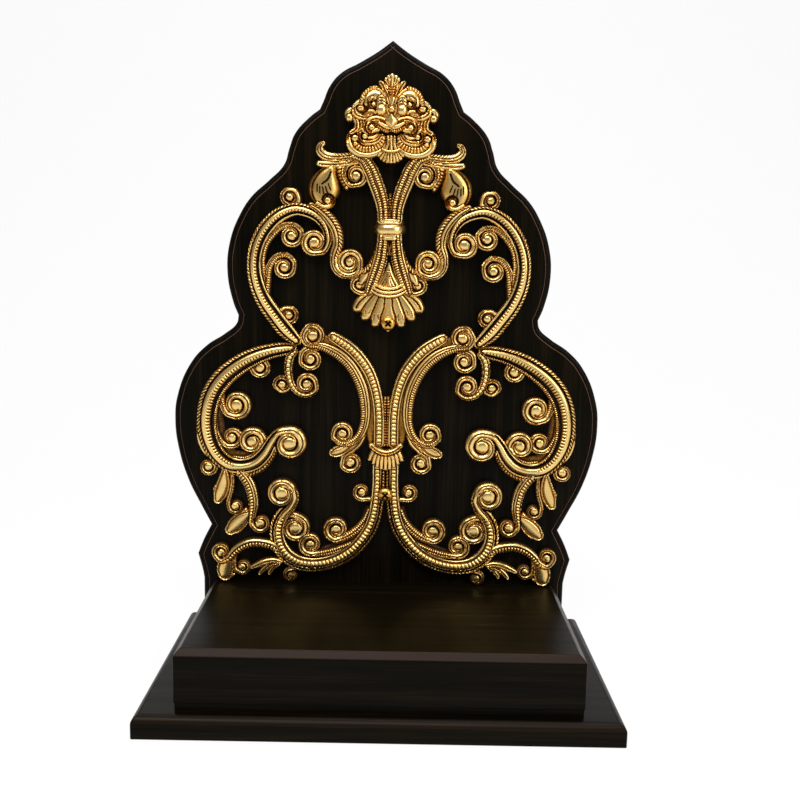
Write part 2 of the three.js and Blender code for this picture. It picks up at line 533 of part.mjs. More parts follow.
const kirtimukhaMask = {
  base: relief.mask,
  centred: [
    { path: [[0, 281, 2.6], [0, 286, 3.4], [0, 290, 5], [0, 292, 4.4]], height: 9 },
    { path: [[0, 275.6, 2], [0, 273.6, 3.4], [0, 271.4, 2]], height: 11 },
    { path: [[-9, 267.6, 3], [-4, 268, 6], [0, 268.4, 7.6], [4, 268, 6], [9, 267.6, 3]], height: 11 },
    { path: [[0, 271, 1.6], [0, 267.6, 6.4], [0, 264.4, 1.6]], height: 14 },
    { path: [[0, 259.6, 3.4], [0, 254.5, 3], [0, 250.8, 7.6], [0, 247.6, 9.6], [0, 245.4, 5]], height: 9.6 },
  ],
  sides: [
    { path: [[2.4, 282.4, 2.2], [4, 286, 2.6], [5.8, 288.8, 2.4]], height: 9 },
    { path: [[3.2, 281.6, 2.6], [6.6, 284.2, 4.4], [11, 282.8, 5], [13.8, 279.4, 4], [14, 276, 2.6]],
      height: 10.6 },
    { path: [[6.4, 280.6, 4], [5.6, 277, 5.6], [5.4, 273.4, 5.8], [5.4, 271.2, 4.4]], height: 13.5 },
    { path: [[8, 271.2, 2.2], [12, 270.2, 2.8], [17, 270.2, 3], [20.8, 272.4, 2.8], [20.4, 275.8, 2.6]],
      curl: { at: [17.4, 274.2], turns: 0, way: 1, eye: 1.6 }, height: 10 },
    { path: [[4, 265.2, 2.2], [8, 267.6, 3], [12, 267.6, 2.8], [14.2, 264.6, 2.4]],
      curl: { at: [11.4, 264.2], turns: 0, way: -1, eye: 1.4 }, height: 11 },
    { path: [[3.6, 258, 2.4], [7, 253.4, 4], [13, 250.6, 4.6], [19, 252.2, 4.6], [22.8, 256.4, 4],
      [22.4, 260.4, 3]], curl: { at: [19.8, 258.6], turns: 0, way: 1, eye: 1.5 }, height: 9.6 },
    { path: [[5.4, 259, 2.2], [10, 256.8, 3.2], [15, 257.4, 2.8], [16.9, 260, 2.4]],
      curl: { at: [14.7, 260], turns: 0, way: 1, eye: 1.4 }, height: 10.6 },
  ],
};

function centredSolid({ centred, sides = [], base = 0 }, grow = 0) {
  const raised = (list) => list.map((item) => ({ base, ...item }));
  const right = sides.length > 0 ? [strands(raised(sides), grow)] : [];
  return union([strands(raised(centred), grow), ...right, ...right.map(mirrored)]);
}

function collarSolid(grow = 0) {
  const { outline, depth, sides } = stemCollar;
  const [bottom, top] = [outline[0][1] * stretchZ - grow, outline.at(-1)[1] * stretchZ + grow];
  const side = outline.map(([r, z]) => [r * stretchX + grow, z * stretchZ]);
  side[0][1] = bottom;
  side.at(-1)[1] = top;
  const geometry = turned([[0, bottom], ...side, [0, top]], sides);
  geometry.rotateX(Math.PI / 2).scale(1, depth, 1).translate(0, brassBack, seatTop);
  return solidFrom(geometry).subtract(behindBrass(grow));
}

// Everything behind the castings' flat backs
function behindBrass(grow) {
  const box = new THREE.BoxGeometry(panel.width, panel.thickness, 2 * panel.height);
  return solidFrom(box.translate(0, brassBack + grow + panel.thickness / 2, seatTop));
}

function maskSolid(grow = 0) {
  const side = maskOutline.map(([x, z]) => onPanel(x, z));
  const other = side.slice(1, -1).reverse().map((p) => new THREE.Vector2(-p.x, p.y));
  const geometry = new THREE.ExtrudeGeometry(new THREE.Shape([...side, ...other].reverse()), {
    depth: relief.mask + grow - 1, steps: 1, curveSegments: 1, bevelEnabled: true,
    bevelThickness: 1, bevelSize: 1, bevelOffset: grow - 1, bevelSegments: 1,
  });
  geometry.rotateX(Math.PI / 2);
  geometry.translate(0, brassBack + grow, 0);
  const plate = solidFrom(geometry).subtract(behindBrass(grow));
  return union([plate, centredSolid(kirtimukhaMask, grow)]);
}

// Each casting with its own strands; a casting later in the list gives way to those before it.
const pairOf = (list) => ({ paired: true, solid: (grow) => strands(list, grow) });
const centreOf = (parts) => ({ paired: false, solid: (grow) => centredSolid(parts, grow) });

const castings = {
  stem_collar: { paired: false, solid: collarSolid },
  kirtimukha_mask: { paired: false, solid: maskSolid },
  clasp: centreOf(clasp),
  stem_skirt: centreOf(stemSkirt),
  arch: pairOf(arch),
  foot_scroll: pairOf(footScroll),
  lower_scroll: pairOf(lowerScroll),
  upper_wing: pairOf(upperWing),
  wing_scroll: pairOf(wingScroll),
  stem_fork: centreOf(stemFork),
  pod: pairOf(pod),
  leaf_spray: pairOf(leafSpray),
  shell: centreOf(shell),
  junction_drop: pairOf(junctionDrop),
  drop_sprig: pairOf(dropSprig),
  foot_spray: pairOf(footSpray),
};

// Screw seats in the brass and the panel

const shellScrewSeat = brassBack - relief.shell - clearance;
const columnScrewSeat = brassBack - relief.wide - clearance;

function panScrew(z, seatedAt) {
  const { headRadius, headHeight, slot, slotDepth } = panScrewSize;
  const body = solidFrom(panScrewBody().translate(0, seatedAt, seatTop + z));
  const recess = [[1.3 * headRadius, slot], [slot, 1.3 * headRadius]].map(([w, h]) => {
    const bar = new THREE.BoxGeometry(w, 2 * slotDepth, h);
    return solidFrom(bar.translate(0, seatedAt - headHeight, seatTop + z));
  });
  return body.subtract(union(recess));
}

function panScrewHole(z, seatedAt) {
  const radius = panScrewSize.shankRadius + clearance;
  const length = panScrewSize.length + 2 * clearance;
  const bore = new THREE.CylinderGeometry(radius, radius, length, 8);
  return solidFrom(bore.translate(0, seatedAt + length / 2 - clearance, seatTop + z));
}

const panHoles = union([
  panScrewHole(shellScrewHeight, shellScrewSeat), panScrewHole(columnScrewHeight, columnScrewSeat),
]);

// Brass castings cut clear of each other

function meet(a, b) {
  const [p, q] = [a.boundingBox(), b.boundingBox()];
  return [0, 1, 2].every((k) => p.min[k] < q.max[k] && q.min[k] < p.max[k]);
}

function cutCastings() {
  const cut = [];
  const earlier = [];
  for (const [name, { paired, solid }] of Object.entries(castings)) {
    let body = solid(0);
    for (const other of [...earlier, panHoles]) {
      if (meet(body, other)) body = body.subtract(other);
    }
    body = mainBody(body).simplify(facetMerge);
    if (paired) {
      cut.push([`${name}_right`, body], [`${name}_left`, mirrored(body)]);
    } else {
      cut.push([name, body]);
    }
    const grown = solid(clearance);
    earlier.push(grown, mirrored(grown));
  }
  return cut;
}

// The throne

function woodGroup() {
  const group = new THREE.Group();
  const plinthHoles = union([...seatScrews(clearance), ...panelFootScrews(clearance)]);
  const blockHoles = union([...seatScrews(clearance), ...panelBackScrews(clearance)]);
  const panelHoles = union([...panelFootScrews(clearance), ...panelBackScrews(clearance), panHoles]);
  const boards = [
    ['plinth', plinthSolid().subtract(plinthHoles)],
    ['spacer_board', spacerSolid().subtract(union(seatScrews(clearance)))],
    ['seat_block', seatBlockSolid().subtract(blockHoles)],
    ['back_panel', panelSolid().subtract(panelHoles)],
  ];
  for (const [name, solid] of boards) group.add(meshFrom(solid, name, finishes.stainedWood));
  return group;
}

function fastenerGroup() {
  const group = new THREE.Group();
  const rows = [
    ['seat_screw', seatScrews(0)], ['panel_foot_screw', panelFootScrews(0)],
    ['panel_back_screw', panelBackScrews(0)],
  ];
  for (const [name, solids] of rows) {
    solids.forEach((solid, i) => group.add(meshFrom(solid, `${name}_${i + 1}`, finishes.steelScrew)));
  }
  group.add(meshFrom(panScrew(shellScrewHeight, shellScrewSeat), 'shell_screw', finishes.brassScrew));
  group.add(meshFrom(panScrew(columnScrewHeight, columnScrewSeat), 'column_screw', finishes.brassScrew));
  return group;
}

function brassGroup() {
  const group = new THREE.Group();
  for (const [name, solid] of cutCastings()) group.add(meshFrom(solid, name, finishes.castBrass));
  return group;
}

const throne = new THREE.Group();
throne.name = 'deity_throne';
throne.add(woodGroup(), fastenerGroup(), brassGroup());

export default throne;
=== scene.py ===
# Deity throne: dark stained boards with cast brass scrollwork on the back panel.
import math
import bpy
import numpy as np
from mathutils import Matrix, Vector


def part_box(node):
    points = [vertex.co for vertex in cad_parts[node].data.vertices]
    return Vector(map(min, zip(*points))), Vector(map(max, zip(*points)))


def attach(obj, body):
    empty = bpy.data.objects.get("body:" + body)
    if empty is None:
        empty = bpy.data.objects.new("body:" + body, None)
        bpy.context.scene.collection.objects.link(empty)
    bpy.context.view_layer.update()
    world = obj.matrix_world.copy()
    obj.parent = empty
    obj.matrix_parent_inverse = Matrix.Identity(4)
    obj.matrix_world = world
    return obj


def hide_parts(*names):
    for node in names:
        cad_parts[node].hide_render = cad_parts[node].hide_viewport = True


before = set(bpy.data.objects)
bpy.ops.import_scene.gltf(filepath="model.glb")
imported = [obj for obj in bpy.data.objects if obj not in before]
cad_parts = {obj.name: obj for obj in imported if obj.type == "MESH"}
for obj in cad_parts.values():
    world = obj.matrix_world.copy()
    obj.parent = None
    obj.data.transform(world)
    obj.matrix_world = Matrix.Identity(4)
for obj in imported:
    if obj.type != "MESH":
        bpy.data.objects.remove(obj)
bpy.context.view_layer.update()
bpy.ops.object.select_all(action="DESELECT")
print("frame loaded")

mm = 0.001

# Places read from the frame, in millimetres
seatLow, seatHigh = [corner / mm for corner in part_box("seat_block")]
plinthLow, plinthHigh = [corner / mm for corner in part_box("plinth")]
spacerLow, spacerHigh = [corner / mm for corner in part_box("spacer_board")]
panelLow, panelHigh = [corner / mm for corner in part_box("back_panel")]
seatTop = seatHigh.z
panelFront = panelLow.y
brassBack = panelFront - 0.1  # the castings' flat backs, a hair off the panel


# Camera: the place and the tilt that fit the corners of the boards in the photograph

cameraFacts = {"place": (5.53, -533.91, 242.92), "yaw": 0.212, "pitch": -8.773, "roll": 1.118, "lens": 45.0}


def addCamera():
    facts = cameraFacts
    yaw, pitch, roll = (math.radians(facts[name]) for name in ("yaw", "pitch", "roll"))
    ahead = Vector((math.sin(yaw) * math.cos(pitch), math.cos(yaw) * math.cos(pitch), math.sin(pitch)))
    level = Vector((math.cos(yaw), -math.sin(yaw), 0))
    upright = level.cross(ahead)
    right = level * math.cos(roll) + upright * math.sin(roll)
    up = upright * math.cos(roll) - level * math.sin(roll)
    turn = Matrix((right, up, -ahead)).transposed()
    data = bpy.data.cameras.new("camera")
    data.lens, data.sensor_width = facts["lens"], 36
    data.clip_start, data.clip_end = 0.01, 20
    camera = bpy.data.objects.new("camera", data)
    bpy.context.collection.objects.link(camera)
    camera.matrix_world = Matrix.Translation(Vector(facts["place"]) * mm) @ turn.to_4x4()
    bpy.context.scene.camera = camera


addCamera()


# Materials

def linearColour(code):
    channels = [int(code[i:i + 2], 16) / 255 for i in (1, 3, 5)]
    return tuple(c / 12.92 if c <= 0.04045 else ((c + 0.055) / 1.055) ** 2.4 for c in channels) + (1,)


def addNode(tree, kind, inputs=None, **settings):
    node = tree.nodes.new("ShaderNode" + kind)
    for name, value in settings.items():
        setattr(node, name, value)
    for socket, value in (inputs or {}).items():
        if isinstance(value, bpy.types.NodeSocket):
            tree.links.new(value, node.inputs[socket])
        else:
            node.inputs[socket].default_value = value
    return node


def newMaterial(name):
    material = bpy.data.materials.new(name)
    material.use_nodes = True
    tree = material.node_tree
    tree.nodes.clear()
    return material, tree


def addShader(tree, inputs):
    shader = addNode(tree, "BsdfPrincipled", inputs)
    addNode(tree, "OutputMaterial", {"Surface": shader.outputs["BSDF"]})


def noise(tree, place, size, detail, **more):
    settings = {"Vector": place, "Scale": 1 / size, "Detail": detail, **more}
    return addNode(tree, "TexNoise", settings).outputs["Fac"]


def colourRamp(tree, share, stops):
    node = addNode(tree, "ValToRGB", {"Fac": share})
    ramp = node.color_ramp
    while len(ramp.elements) > 1:
        ramp.elements.remove(ramp.elements[-1])
    for i, (place, code) in enumerate(stops):
        element = ramp.elements[0] if i == 0 else ramp.elements.new(place)
        element.position, element.color = place, linearColour(code)
    return node.outputs["Color"]


def tinted(tree, share, colour, code):
    inputs = {"Factor": share, 6: colour, 7: linearColour(code)}
    return addNode(tree, "Mix", inputs, data_type="RGBA").outputs[2]


def mapped(tree, value, low, high, atLow, atHigh):
    inputs = {"Value": value, "From Min": low, "From Max": high, "To Min": atLow, "To Max": atHigh}
    return addNode(tree, "MapRange", inputs).outputs["Result"]


def dented(tree, height, strength, depth):
    inputs = {"Height": height, "Strength": strength, "Distance": depth * mm}
    return addNode(tree, "Bump", inputs).outputs["Normal"]


# Stained hardwood: open grain under a thin satin lacquer, near black, with a paler brown painted on some
# edges
def stainedWood(name, grain, gloss):
    material, tree = newMaterial(name)
    place = addNode(tree, "TexCoord").outputs["Object"]
    fine, long = 1 / (0.7 * mm), 1 / (45 * mm)  # pores 0.7 mm apart, 45 mm long
    scale = {"x": (long, fine, fine), "z": (fine, fine, long)}[grain]
    broadScale = tuple(s * 0.11 for s in scale)  # bands of grain about 6 mm wide
    along = addNode(tree, "Mapping", {"Vector": place, "Scale": scale}).outputs["Vector"]
    wide = addNode(tree, "Mapping", {"Vector": place, "Scale": broadScale}).outputs["Vector"]
    pores = noise(tree, along, 1, 3, Roughness=0.6)
    bands = noise(tree, wide, 1, 2, Distortion=0.4)
    grained = addNode(tree, "Mix", {"Factor": 0.45, 2: pores, 3: bands}, data_type="FLOAT").outputs[0]
    colour = colourRamp(tree, grained, [(0.34, "#040301"), (0.5, "#0b0803"), (0.66, "#181107")])
    # painted highlight: this attribute tints the boards' leaning edges paler brown, and the panel's step,
    # where the stain is also worn through
    wearAndSheen = addNode(tree, "Attribute", attribute_name="wearAndSheen").outputs["Fac"]
    addShader(tree, {
        "Base Color": tinted(tree, wearAndSheen, colour, "#63483c"),
        "Roughness": mapped(tree, grained, 0.35, 0.65, 0.38, 0.27),
        "Normal": dented(tree, pores, 0.12, 0.1),
        "IOR": 1.5,
        "Specular IOR Level": gloss,  # an old, rubbed finish
    })
    return material


# Cast brass, lacquered over a brown patina: bright on what stands proud, brown black in what lies deep.
# The dark in the hollows is partly that patina and partly painted shade
def castBrass():
    material, tree = newMaterial("castBrassAntiqued")
    place = addNode(tree, "TexCoord").outputs["Object"]
    relief = addNode(tree, "Attribute", attribute_name="relief").outputs["Fac"]
    grit = noise(tree, place, 1.1 * mm, 4)
    cloud = noise(tree, place, 9 * mm, 2)
    gritty = addNode(tree, "Math", {0: grit, 1: 0.36, 2: relief}, operation="MULTIPLY_ADD")
    cloudy = addNode(tree, "Math", {0: cloud, 1: 0.24, 2: gritty.outputs[0]}, operation="MULTIPLY_ADD")
    level = mapped(tree, cloudy.outputs[0], 0.3, 1.3, 0, 1)
    addShader(tree, {
        "Base Color": colourRamp(tree, level, [(0.06, "#1a0d04"), (0.24, "#462909"), (0.39, "#8f6022"),
                                               (0.54, "#cd9b4a"), (0.9, "#f3d187")]),
        "Metallic": mapped(tree, level, 0.08, 0.4, 0.25, 1),
        "Roughness": mapped(tree, level, 0.1, 0.8, 0.6, 0.27),
        "Normal": dented(tree, grit, 0.25, 0.12),
    })
    return material


# Turned brass of the screws: yellower and brighter than the castings, darker at the bottom of the cross
# recess
def turnedBrass():
    material, tree = newMaterial("brassScrewTurned")
    place = addNode(tree, "TexCoord").outputs["Object"]
    colour = colourRamp(tree, noise(tree, place, 0.8 * mm, 2), [(0.3, "#cb953a"), (0.7, "#ecb95e")])
    sunk = addNode(tree, "Attribute", attribute_name="sunk").outputs["Fac"]
    addShader(tree, {"Base Color": tinted(tree, sunk, colour, "#221405"), "Metallic": 1, "Roughness": 0.3})
    return material


# Zinc plated steel of the wood screws: pale grey, slightly mottled
def zincSteel():
    material, tree = newMaterial("woodScrewZincSteel")
    place = addNode(tree, "TexCoord").outputs["Object"]
    colour = colourRamp(tree, noise(tree, place, 0.9 * mm, 3), [(0.3, "#77787a"), (0.7, "#a4a6a8")])
    addShader(tree, {"Base Color": colour, "Metallic": 1, "Roughness": 0.38})
    return material


materials = {
    "panelWood": stainedWood("stainedWoodUpright", "z", 0.045),
    "boardWood": stainedWood("stainedWoodLevel", "x", 0.055),
    "brass": castBrass(),
    "screwBrass": turnedBrass(),
    "zinc": zincSteel(),
}
print("materials made")


# Steps that many pieces share

def choose(piece):
    bpy.ops.object.select_all(action="DESELECT")
    piece.select_set(True)
    bpy.context.view_layer.objects.active = piece


def applyModifier(piece, kind, **settings):
    choose(piece)
    modifier = piece.modifiers.new("step", kind)
    for name, value in settings.items():
        setattr(modifier, name, value)
    bpy.ops.object.modifier_apply(modifier="step")


def finishPiece(piece, name, node, material, smoothAngle=35):
    piece.name = name
    piece.data.materials.clear()
    piece.data.materials.append(material)
    choose(piece)
    bpy.ops.object.transform_apply(location=True, rotation=True, scale=True)
    bpy.ops.object.shade_smooth_by_angle(angle=math.radians(smoothAngle))
    piece.select_set(False)
    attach(piece, "root")
    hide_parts(node)


def cutAway(piece, cutter):
    applyModifier(piece, "BOOLEAN", operation="DIFFERENCE", object=cutter, solver="EXACT")
    bpy.data.objects.remove(cutter, do_unlink=True)


def addBlock(middle, size):
    bpy.ops.mesh.primitive_cube_add(size=1, location=Vector(middle) * mm)
    block = bpy.context.object
    block.scale = Vector(size) * mm
    bpy.ops.object.transform_apply(location=True, rotation=True, scale=True)
    return block


# Stage and light: a white sweep, a large soft box above in front, a fill on the right and a box overhead

stageFacts = {"width": 6.0, "front": -2.6, "back": 1.3, "rise": 3.0, "bend": 0.9}


def backdropMaterial():
    material, tree = newMaterial("paperWhite")
    path = addNode(tree, "LightPath")
    seen = addNode(tree, "Math", {0: path.outputs["Is Camera Ray"], 1: path.outputs["Is Glossy Ray"]},
                   operation="MAXIMUM")
    through = addNode(tree, "Math", {0: seen.outputs[0], 1: path.outputs["Is Transmission Ray"]},
                      operation="MAXIMUM")
    paper = addNode(tree, "BsdfDiffuse", {"Color": linearColour("#e9e9e9")})
    glow = addNode(tree, "Emission", {"Color": linearColour("#ffffff"), "Strength": 1.0})
    share = addNode(tree, "Math", {0: through.outputs[0], 1: 0.86}, operation="MULTIPLY")
    mixed = addNode(tree, "MixShader", {0: share.outputs[0], 1: paper.outputs[0], 2: glow.outputs[0]})
    addNode(tree, "OutputMaterial", {"Surface": mixed.outputs[0]})
    return material


def addStage():
    facts = stageFacts
    bpy.ops.mesh.primitive_plane_add(size=1, location=(0, 0, 0))
    sweep = bpy.context.object
    sweep.name = "backdrop"
    bpy.ops.object.mode_set(mode="EDIT")
    bpy.ops.transform.resize(value=(facts["width"], facts["back"] - facts["front"], 1))
    bpy.ops.transform.translate(value=(0, (facts["back"] + facts["front"]) / 2, 0))
    bpy.ops.mesh.select_mode(type="EDGE")
    bpy.ops.mesh.select_all(action="DESELECT")
    bpy.ops.object.mode_set(mode="OBJECT")
    for edge in sweep.data.edges:
        edge.select = all(sweep.data.vertices[i].co.y > facts["back"] - 0.01 for i in edge.vertices)
    bpy.ops.object.mode_set(mode="EDIT")
    bpy.ops.mesh.extrude_region_move(TRANSFORM_OT_translate={"value": (0, 0, facts["rise"])})
    bpy.ops.object.mode_set(mode="OBJECT")
    applyModifier(sweep, "BEVEL", width=facts["bend"], segments=12, limit_method="ANGLE", angle_limit=0.8)
    bpy.ops.object.shade_smooth()
    sweep.data.materials.append(backdropMaterial())
    bpy.ops.object.select_all(action="DESELECT")


def addWorld():
    world = bpy.data.worlds.new("studio")
    bpy.context.scene.world = world
    world.use_nodes = True
    tree = world.node_tree
    tree.nodes.clear()
    path = addNode(tree, "LightPath")
    room = addNode(tree, "Background", {"Color": linearColour("#ffffff"), "Strength": 0.24})
    white = addNode(tree, "Background", {"Color": linearColour("#ffffff"), "Strength": 1.0})
    mixed = addNode(tree, "MixShader", {0: path.outputs["Is Camera Ray"], 1: room.outputs[0],
                                        2: white.outputs[0]})
    addNode(tree, "OutputWorld", {"Surface": mixed.outputs[0]})


lamps = {
    "keyBox": {"place": (-0.2, -0.78, 1.25), "aim": (0, 0, 0.2), "size": (1.2, 0.6), "power": 17},
    "fillBox": {"place": (1.1, -0.8, 0.7), "aim": (0, 0, 0.2), "size": (0.6, 0.9), "power": 8},
    "topBox": {"place": (0.1, 0.15, 1.3), "aim": (0, 0, 0.2), "size": (1.0, 0.5), "power": 9},
}


def addLamps():
    for name, facts in lamps.items():
        data = bpy.data.lights.new(name, "AREA")
        data.shape = "RECTANGLE"
        data.size, data.size_y = facts["size"]
        data.energy = facts["power"]
        lamp = bpy.data.objects.new(name, data)
        bpy.context.collection.objects.link(lamp)
        place = Vector(facts["place"])
        turn = (Vector(facts["aim"]) - place).to_track_quat("-Z", "Y")
        lamp.matrix_world = Matrix.Translation(place) @ turn.to_matrix().to_4x4()


addStage()
addWorld()
addLamps()
bpy.context.scene.view_settings.view_transform = "Standard"
print("stage and light set")


# Wood boards

# The plinth's and the seat's paleness is the painted highlight on their leaning edges
boardFacts = {
    "plinthRound": 4.5, "plinthSoften": 0.7, "plinthSheen": 0.05,
    "seatChamfer": 3.2, "seatSoften": 0.5, "seatSheen": 0.14,
    "spacerGrow": 0.7, "spacerSoften": 0.6,
    "screwHole": 4.15, "holeDepth": 3.2,
    "leaning": (0.2, 0.97),  # a face leans when the z of its normal is between these
}


def bevelEdges(block, chosen, width, segments):
    choose(block)
    bpy.ops.object.mode_set(mode="EDIT")
    bpy.ops.mesh.select_mode(type="EDGE")
    bpy.ops.mesh.select_all(action="DESELECT")
    bpy.ops.object.mode_set(mode="OBJECT")
    corners = block.data.vertices
    for edge in block.data.edges:
        a, b = (corners[i].co / mm for i in edge.vertices)
        edge.select = chosen(a, b)
    bpy.ops.object.mode_set(mode="EDIT")
    bpy.ops.mesh.bevel(offset=width * mm, segments=segments, profile=0.5)
    bpy.ops.object.mode_set(mode="OBJECT")


def softenEdges(board, width):
    applyModifier(board, "BEVEL", width=width * mm, segments=3, limit_method="ANGLE",
                  angle_limit=math.radians(30))


# The flat faces stay evenly lit, and the leaning edges get a painted highlight, a little paler
def evenBoard(board, pale):
    applyModifier(board, "WEIGHTED_NORMAL", keep_sharp=True)
    wearAndSheen = board.data.attributes.new("wearAndSheen", "FLOAT", "CORNER")
    steepest, flattest = boardFacts["leaning"]
    for face in board.data.polygons:
        for loop in face.loop_indices:
            wearAndSheen.data[loop].value = pale if steepest < face.normal.z < flattest else 0


def boreHole(board, place, ahead):
    bpy.ops.mesh.primitive_cylinder_add(vertices=40, radius=boardFacts["screwHole"] * mm,
                                        depth=2 * boardFacts["holeDepth"] * mm, location=Vector(place) * mm,
                                        rotation=Vector(ahead).to_track_quat("Z", "Y").to_euler())
    bore = bpy.context.object
    bpy.ops.object.transform_apply(location=True, rotation=True, scale=True)
    cutAway(board, bore)


def middleOf(node):
    low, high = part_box(node)
    return (low + high) / 2 / mm


def numbered(name, count):
    return ["%s_%d" % (name, i + 1) for i in range(count)]


underScrews = numbered("seat_screw", 4) + numbered("panel_foot_screw", 2)
backScrews = numbered("panel_back_screw", 3)


def addPlinth():
    facts = boardFacts
    board = addBlock((plinthLow + plinthHigh) / 2, plinthHigh - plinthLow)
    bevelEdges(board, lambda a, b: min(a.z, b.z) > plinthHigh.z - 0.1, facts["plinthRound"], 8)
    softenEdges(board, facts["plinthSoften"])
    for node in underScrews:
        place = middleOf(node)
        boreHole(board, (place.x, place.y, plinthLow.z), (0, 0, 1))
    finishPiece(board, "plinthBoard", "plinth", materials["boardWood"])
    evenBoard(board, facts["plinthSheen"])


def addSpacer():
    grow = Vector((2 * boardFacts["spacerGrow"], 0, 0))
    board = addBlock((spacerLow + spacerHigh) / 2, spacerHigh - spacerLow + grow)
    bevelEdges(board, lambda a, b: abs(a.z - b.z) > 1, boardFacts["spacerSoften"], 3)
    finishPiece(board, "spacerBoard", "spacer_board", materials["boardWood"])
    evenBoard(board, 0)


def addSeat():
    facts = boardFacts
    board = addBlock((seatLow + seatHigh) / 2, seatHigh - seatLow)
    bevelEdges(board, lambda a, b: min(a.z, b.z) > seatTop - 0.1 and min(a.y, b.y) < seatHigh.y - 1,
               facts["seatChamfer"], 1)
    softenEdges(board, facts["seatSoften"])
    finishPiece(board, "seatBlock", "seat_block", materials["boardWood"])
    evenBoard(board, facts["seatSheen"])


# Back panel: the ogee outline is a smooth closed curve, extruded with rounded edges. Its field stands a
# step above the border.

panelFacts = {
    "round": 2.4, "band": 3.3, "step": 0.6, "fieldRound": 0.45, "fieldThick": 4,
    "stepWearAndSheen": (0.04, 0.5),  # how far behind the field's front its edge is painted paler: a painted highlight, with the stain also worn through
    "outline": [  # right half: distance from the centre line, height over the seat
        (107.7, 0), (108.6, 5), (111.2, 15), (107.6, 24), (103, 33), (108.7, 44), (116.4, 60),
        (122.2, 80), (123.8, 96), (122.3, 110), (113.8, 130), (104.6, 140), (94, 147), (87.4, 153),
        (86.4, 157.5), (89.4, 165), (92.7, 183), (91, 200), (85.2, 215), (78.6, 225), (68.8, 234),
        (60.2, 243), (57.3, 252), (54.2, 260), (46.1, 269), (40.3, 273.5), (38.3, 278), (34.9, 286),
        (28.9, 293), (18.2, 299), (8.2, 305), (0, 311)],
    "cusps": (15, 33, 157.5, 273.5),  # heights at which the outline turns in a corner
}


def panelCurve(inset, rounding, thickness):
    right = panelFacts["outline"]
    foot = (right[0][0], plinthHigh.z - seatTop)
    loop = [foot] + right + [(-x, z) for x, z in reversed(right[:-1])] + [(-foot[0], foot[1])]
    corners = panelFacts["cusps"] + (0, foot[1], right[-1][1])
    data = bpy.data.curves.new("panelOutline", "CURVE")
    data.dimensions, data.fill_mode, data.resolution_u = "2D", "BOTH", 7
    data.bevel_depth, data.bevel_resolution, data.offset = rounding * mm, 5, -(rounding + inset) * mm
    data.extrude = (thickness / 2 - rounding) * mm
    spline = data.splines.new("BEZIER")
    spline.bezier_points.add(len(loop) - 1)
    spline.use_cyclic_u = True
    for point, (x, z) in zip(spline.bezier_points, loop):
        point.co = (x * mm, (z + seatTop) * mm, 0)
        straight = any(abs(z - height) < 0.01 for height in corners)
        point.handle_left_type = point.handle_right_type = "VECTOR" if straight else "AUTO"
    return data


def curveBody(data, middle):
    piece = bpy.data.objects.new("panel", data)
    bpy.context.collection.objects.link(piece)
    choose(piece)
    bpy.ops.object.convert(target="MESH")
    bpy.ops.object.mode_set(mode="EDIT")
    bpy.ops.mesh.select_all(action="SELECT")
    bpy.ops.mesh.remove_doubles(threshold=0.02 * mm)
    bpy.ops.mesh.normals_make_consistent(inside=False)
    bpy.ops.object.mode_set(mode="OBJECT")
    piece.rotation_euler = (math.pi / 2, 0, 0)
    piece.location.y = middle * mm
    bpy.ops.object.transform_apply(location=True, rotation=True, scale=True)
    return piece


def addPanel():
    facts = panelFacts
    border, back, thick = panelFront + facts["step"], panelHigh.y, facts["fieldThick"]
    board = curveBody(panelCurve(0, facts["round"], back - border), (border + back) / 2)
    field = curveBody(panelCurve(facts["band"], facts["fieldRound"], thick), panelFront + thick / 2)
    # Painted highlight along the field's edge, paler also where the stain is worn through
    wearAndSheen = field.data.attributes.new("wearAndSheen", "FLOAT", "POINT")
    shallow, deep = facts["stepWearAndSheen"]
    for value, corner in zip(wearAndSheen.data, field.data.vertices):
        value.value = float(shallow < corner.co.y / mm - panelFront < deep)
    choose(board)
    field.select_set(True)
    bpy.ops.object.join()
    for node in backScrews:
        place = middleOf(node)
        boreHole(board, (place.x, back, place.z), (0, 1, 0))
    finishPiece(board, "backPanel", "back_panel", materials["panelWood"])


addPlinth()
addSpacer()
addSeat()
addPanel()
print("boards made")


# Screws: a profile of radius against depth spun about the screw's axis, and a cross cut in the head

screwFacts = {
    "rim": 48, "crossWidth": 1.3, "crossLength": 4.6,
    "woodHead": [(0, 0), (3.6, 0), (4.0, 0.3), (2.0, 2.9), (2.0, 4)], "woodCross": 1.3,
    "woodTip": 4, "woodCore": 1.7,
    "panHead": [(0, 0), (1.2, 0.02), (2.2, 0.16), (3.1, 0.55), (3.7, 1.2), (4.0, 2.0), (4.0, 2.6),
                (1.9, 2.6)],
    "panCross": 2.3, "panTip": 3, "panCore": 1.9, "panTurn": 45,
}


def spunScrew(profile, crossDepth):
    facts = screwFacts
    mesh = bpy.data.meshes.new("screw")
    edges = [(i, i + 1) for i in range(len(profile) - 1)]
    mesh.from_pydata([(r * mm, 0, -d * mm) for r, d in profile], edges, [])
    screw = bpy.data.objects.new("screw", mesh)
    bpy.context.collection.objects.link(screw)
    choose(screw)
    bpy.ops.object.mode_set(mode="EDIT")
    bpy.ops.mesh.select_all(action="SELECT")
    bpy.ops.mesh.spin(steps=facts["rim"], angle=math.tau, center=(0, 0, 0), axis=(0, 0, 1))
    bpy.ops.mesh.select_all(action="SELECT")
    bpy.ops.mesh.remove_doubles(threshold=0.02 * mm)
    bpy.ops.mesh.normals_make_consistent(inside=False)
    bpy.ops.object.mode_set(mode="OBJECT")
    long, wide = facts["crossLength"], facts["crossWidth"]
    cutAway(screw, addBlock((0, 0, 0), (long, wide, 2 * crossDepth)))
    cutAway(screw, addBlock((0, 0, 0), (wide, long, 2 * crossDepth)))
    return screw


def placeScrew(screw, place, ahead):
    turn = Vector(ahead).to_track_quat("Z", "Y")
    screw.matrix_world = Matrix.Translation(Vector(place) * mm) @ turn.to_matrix().to_4x4()


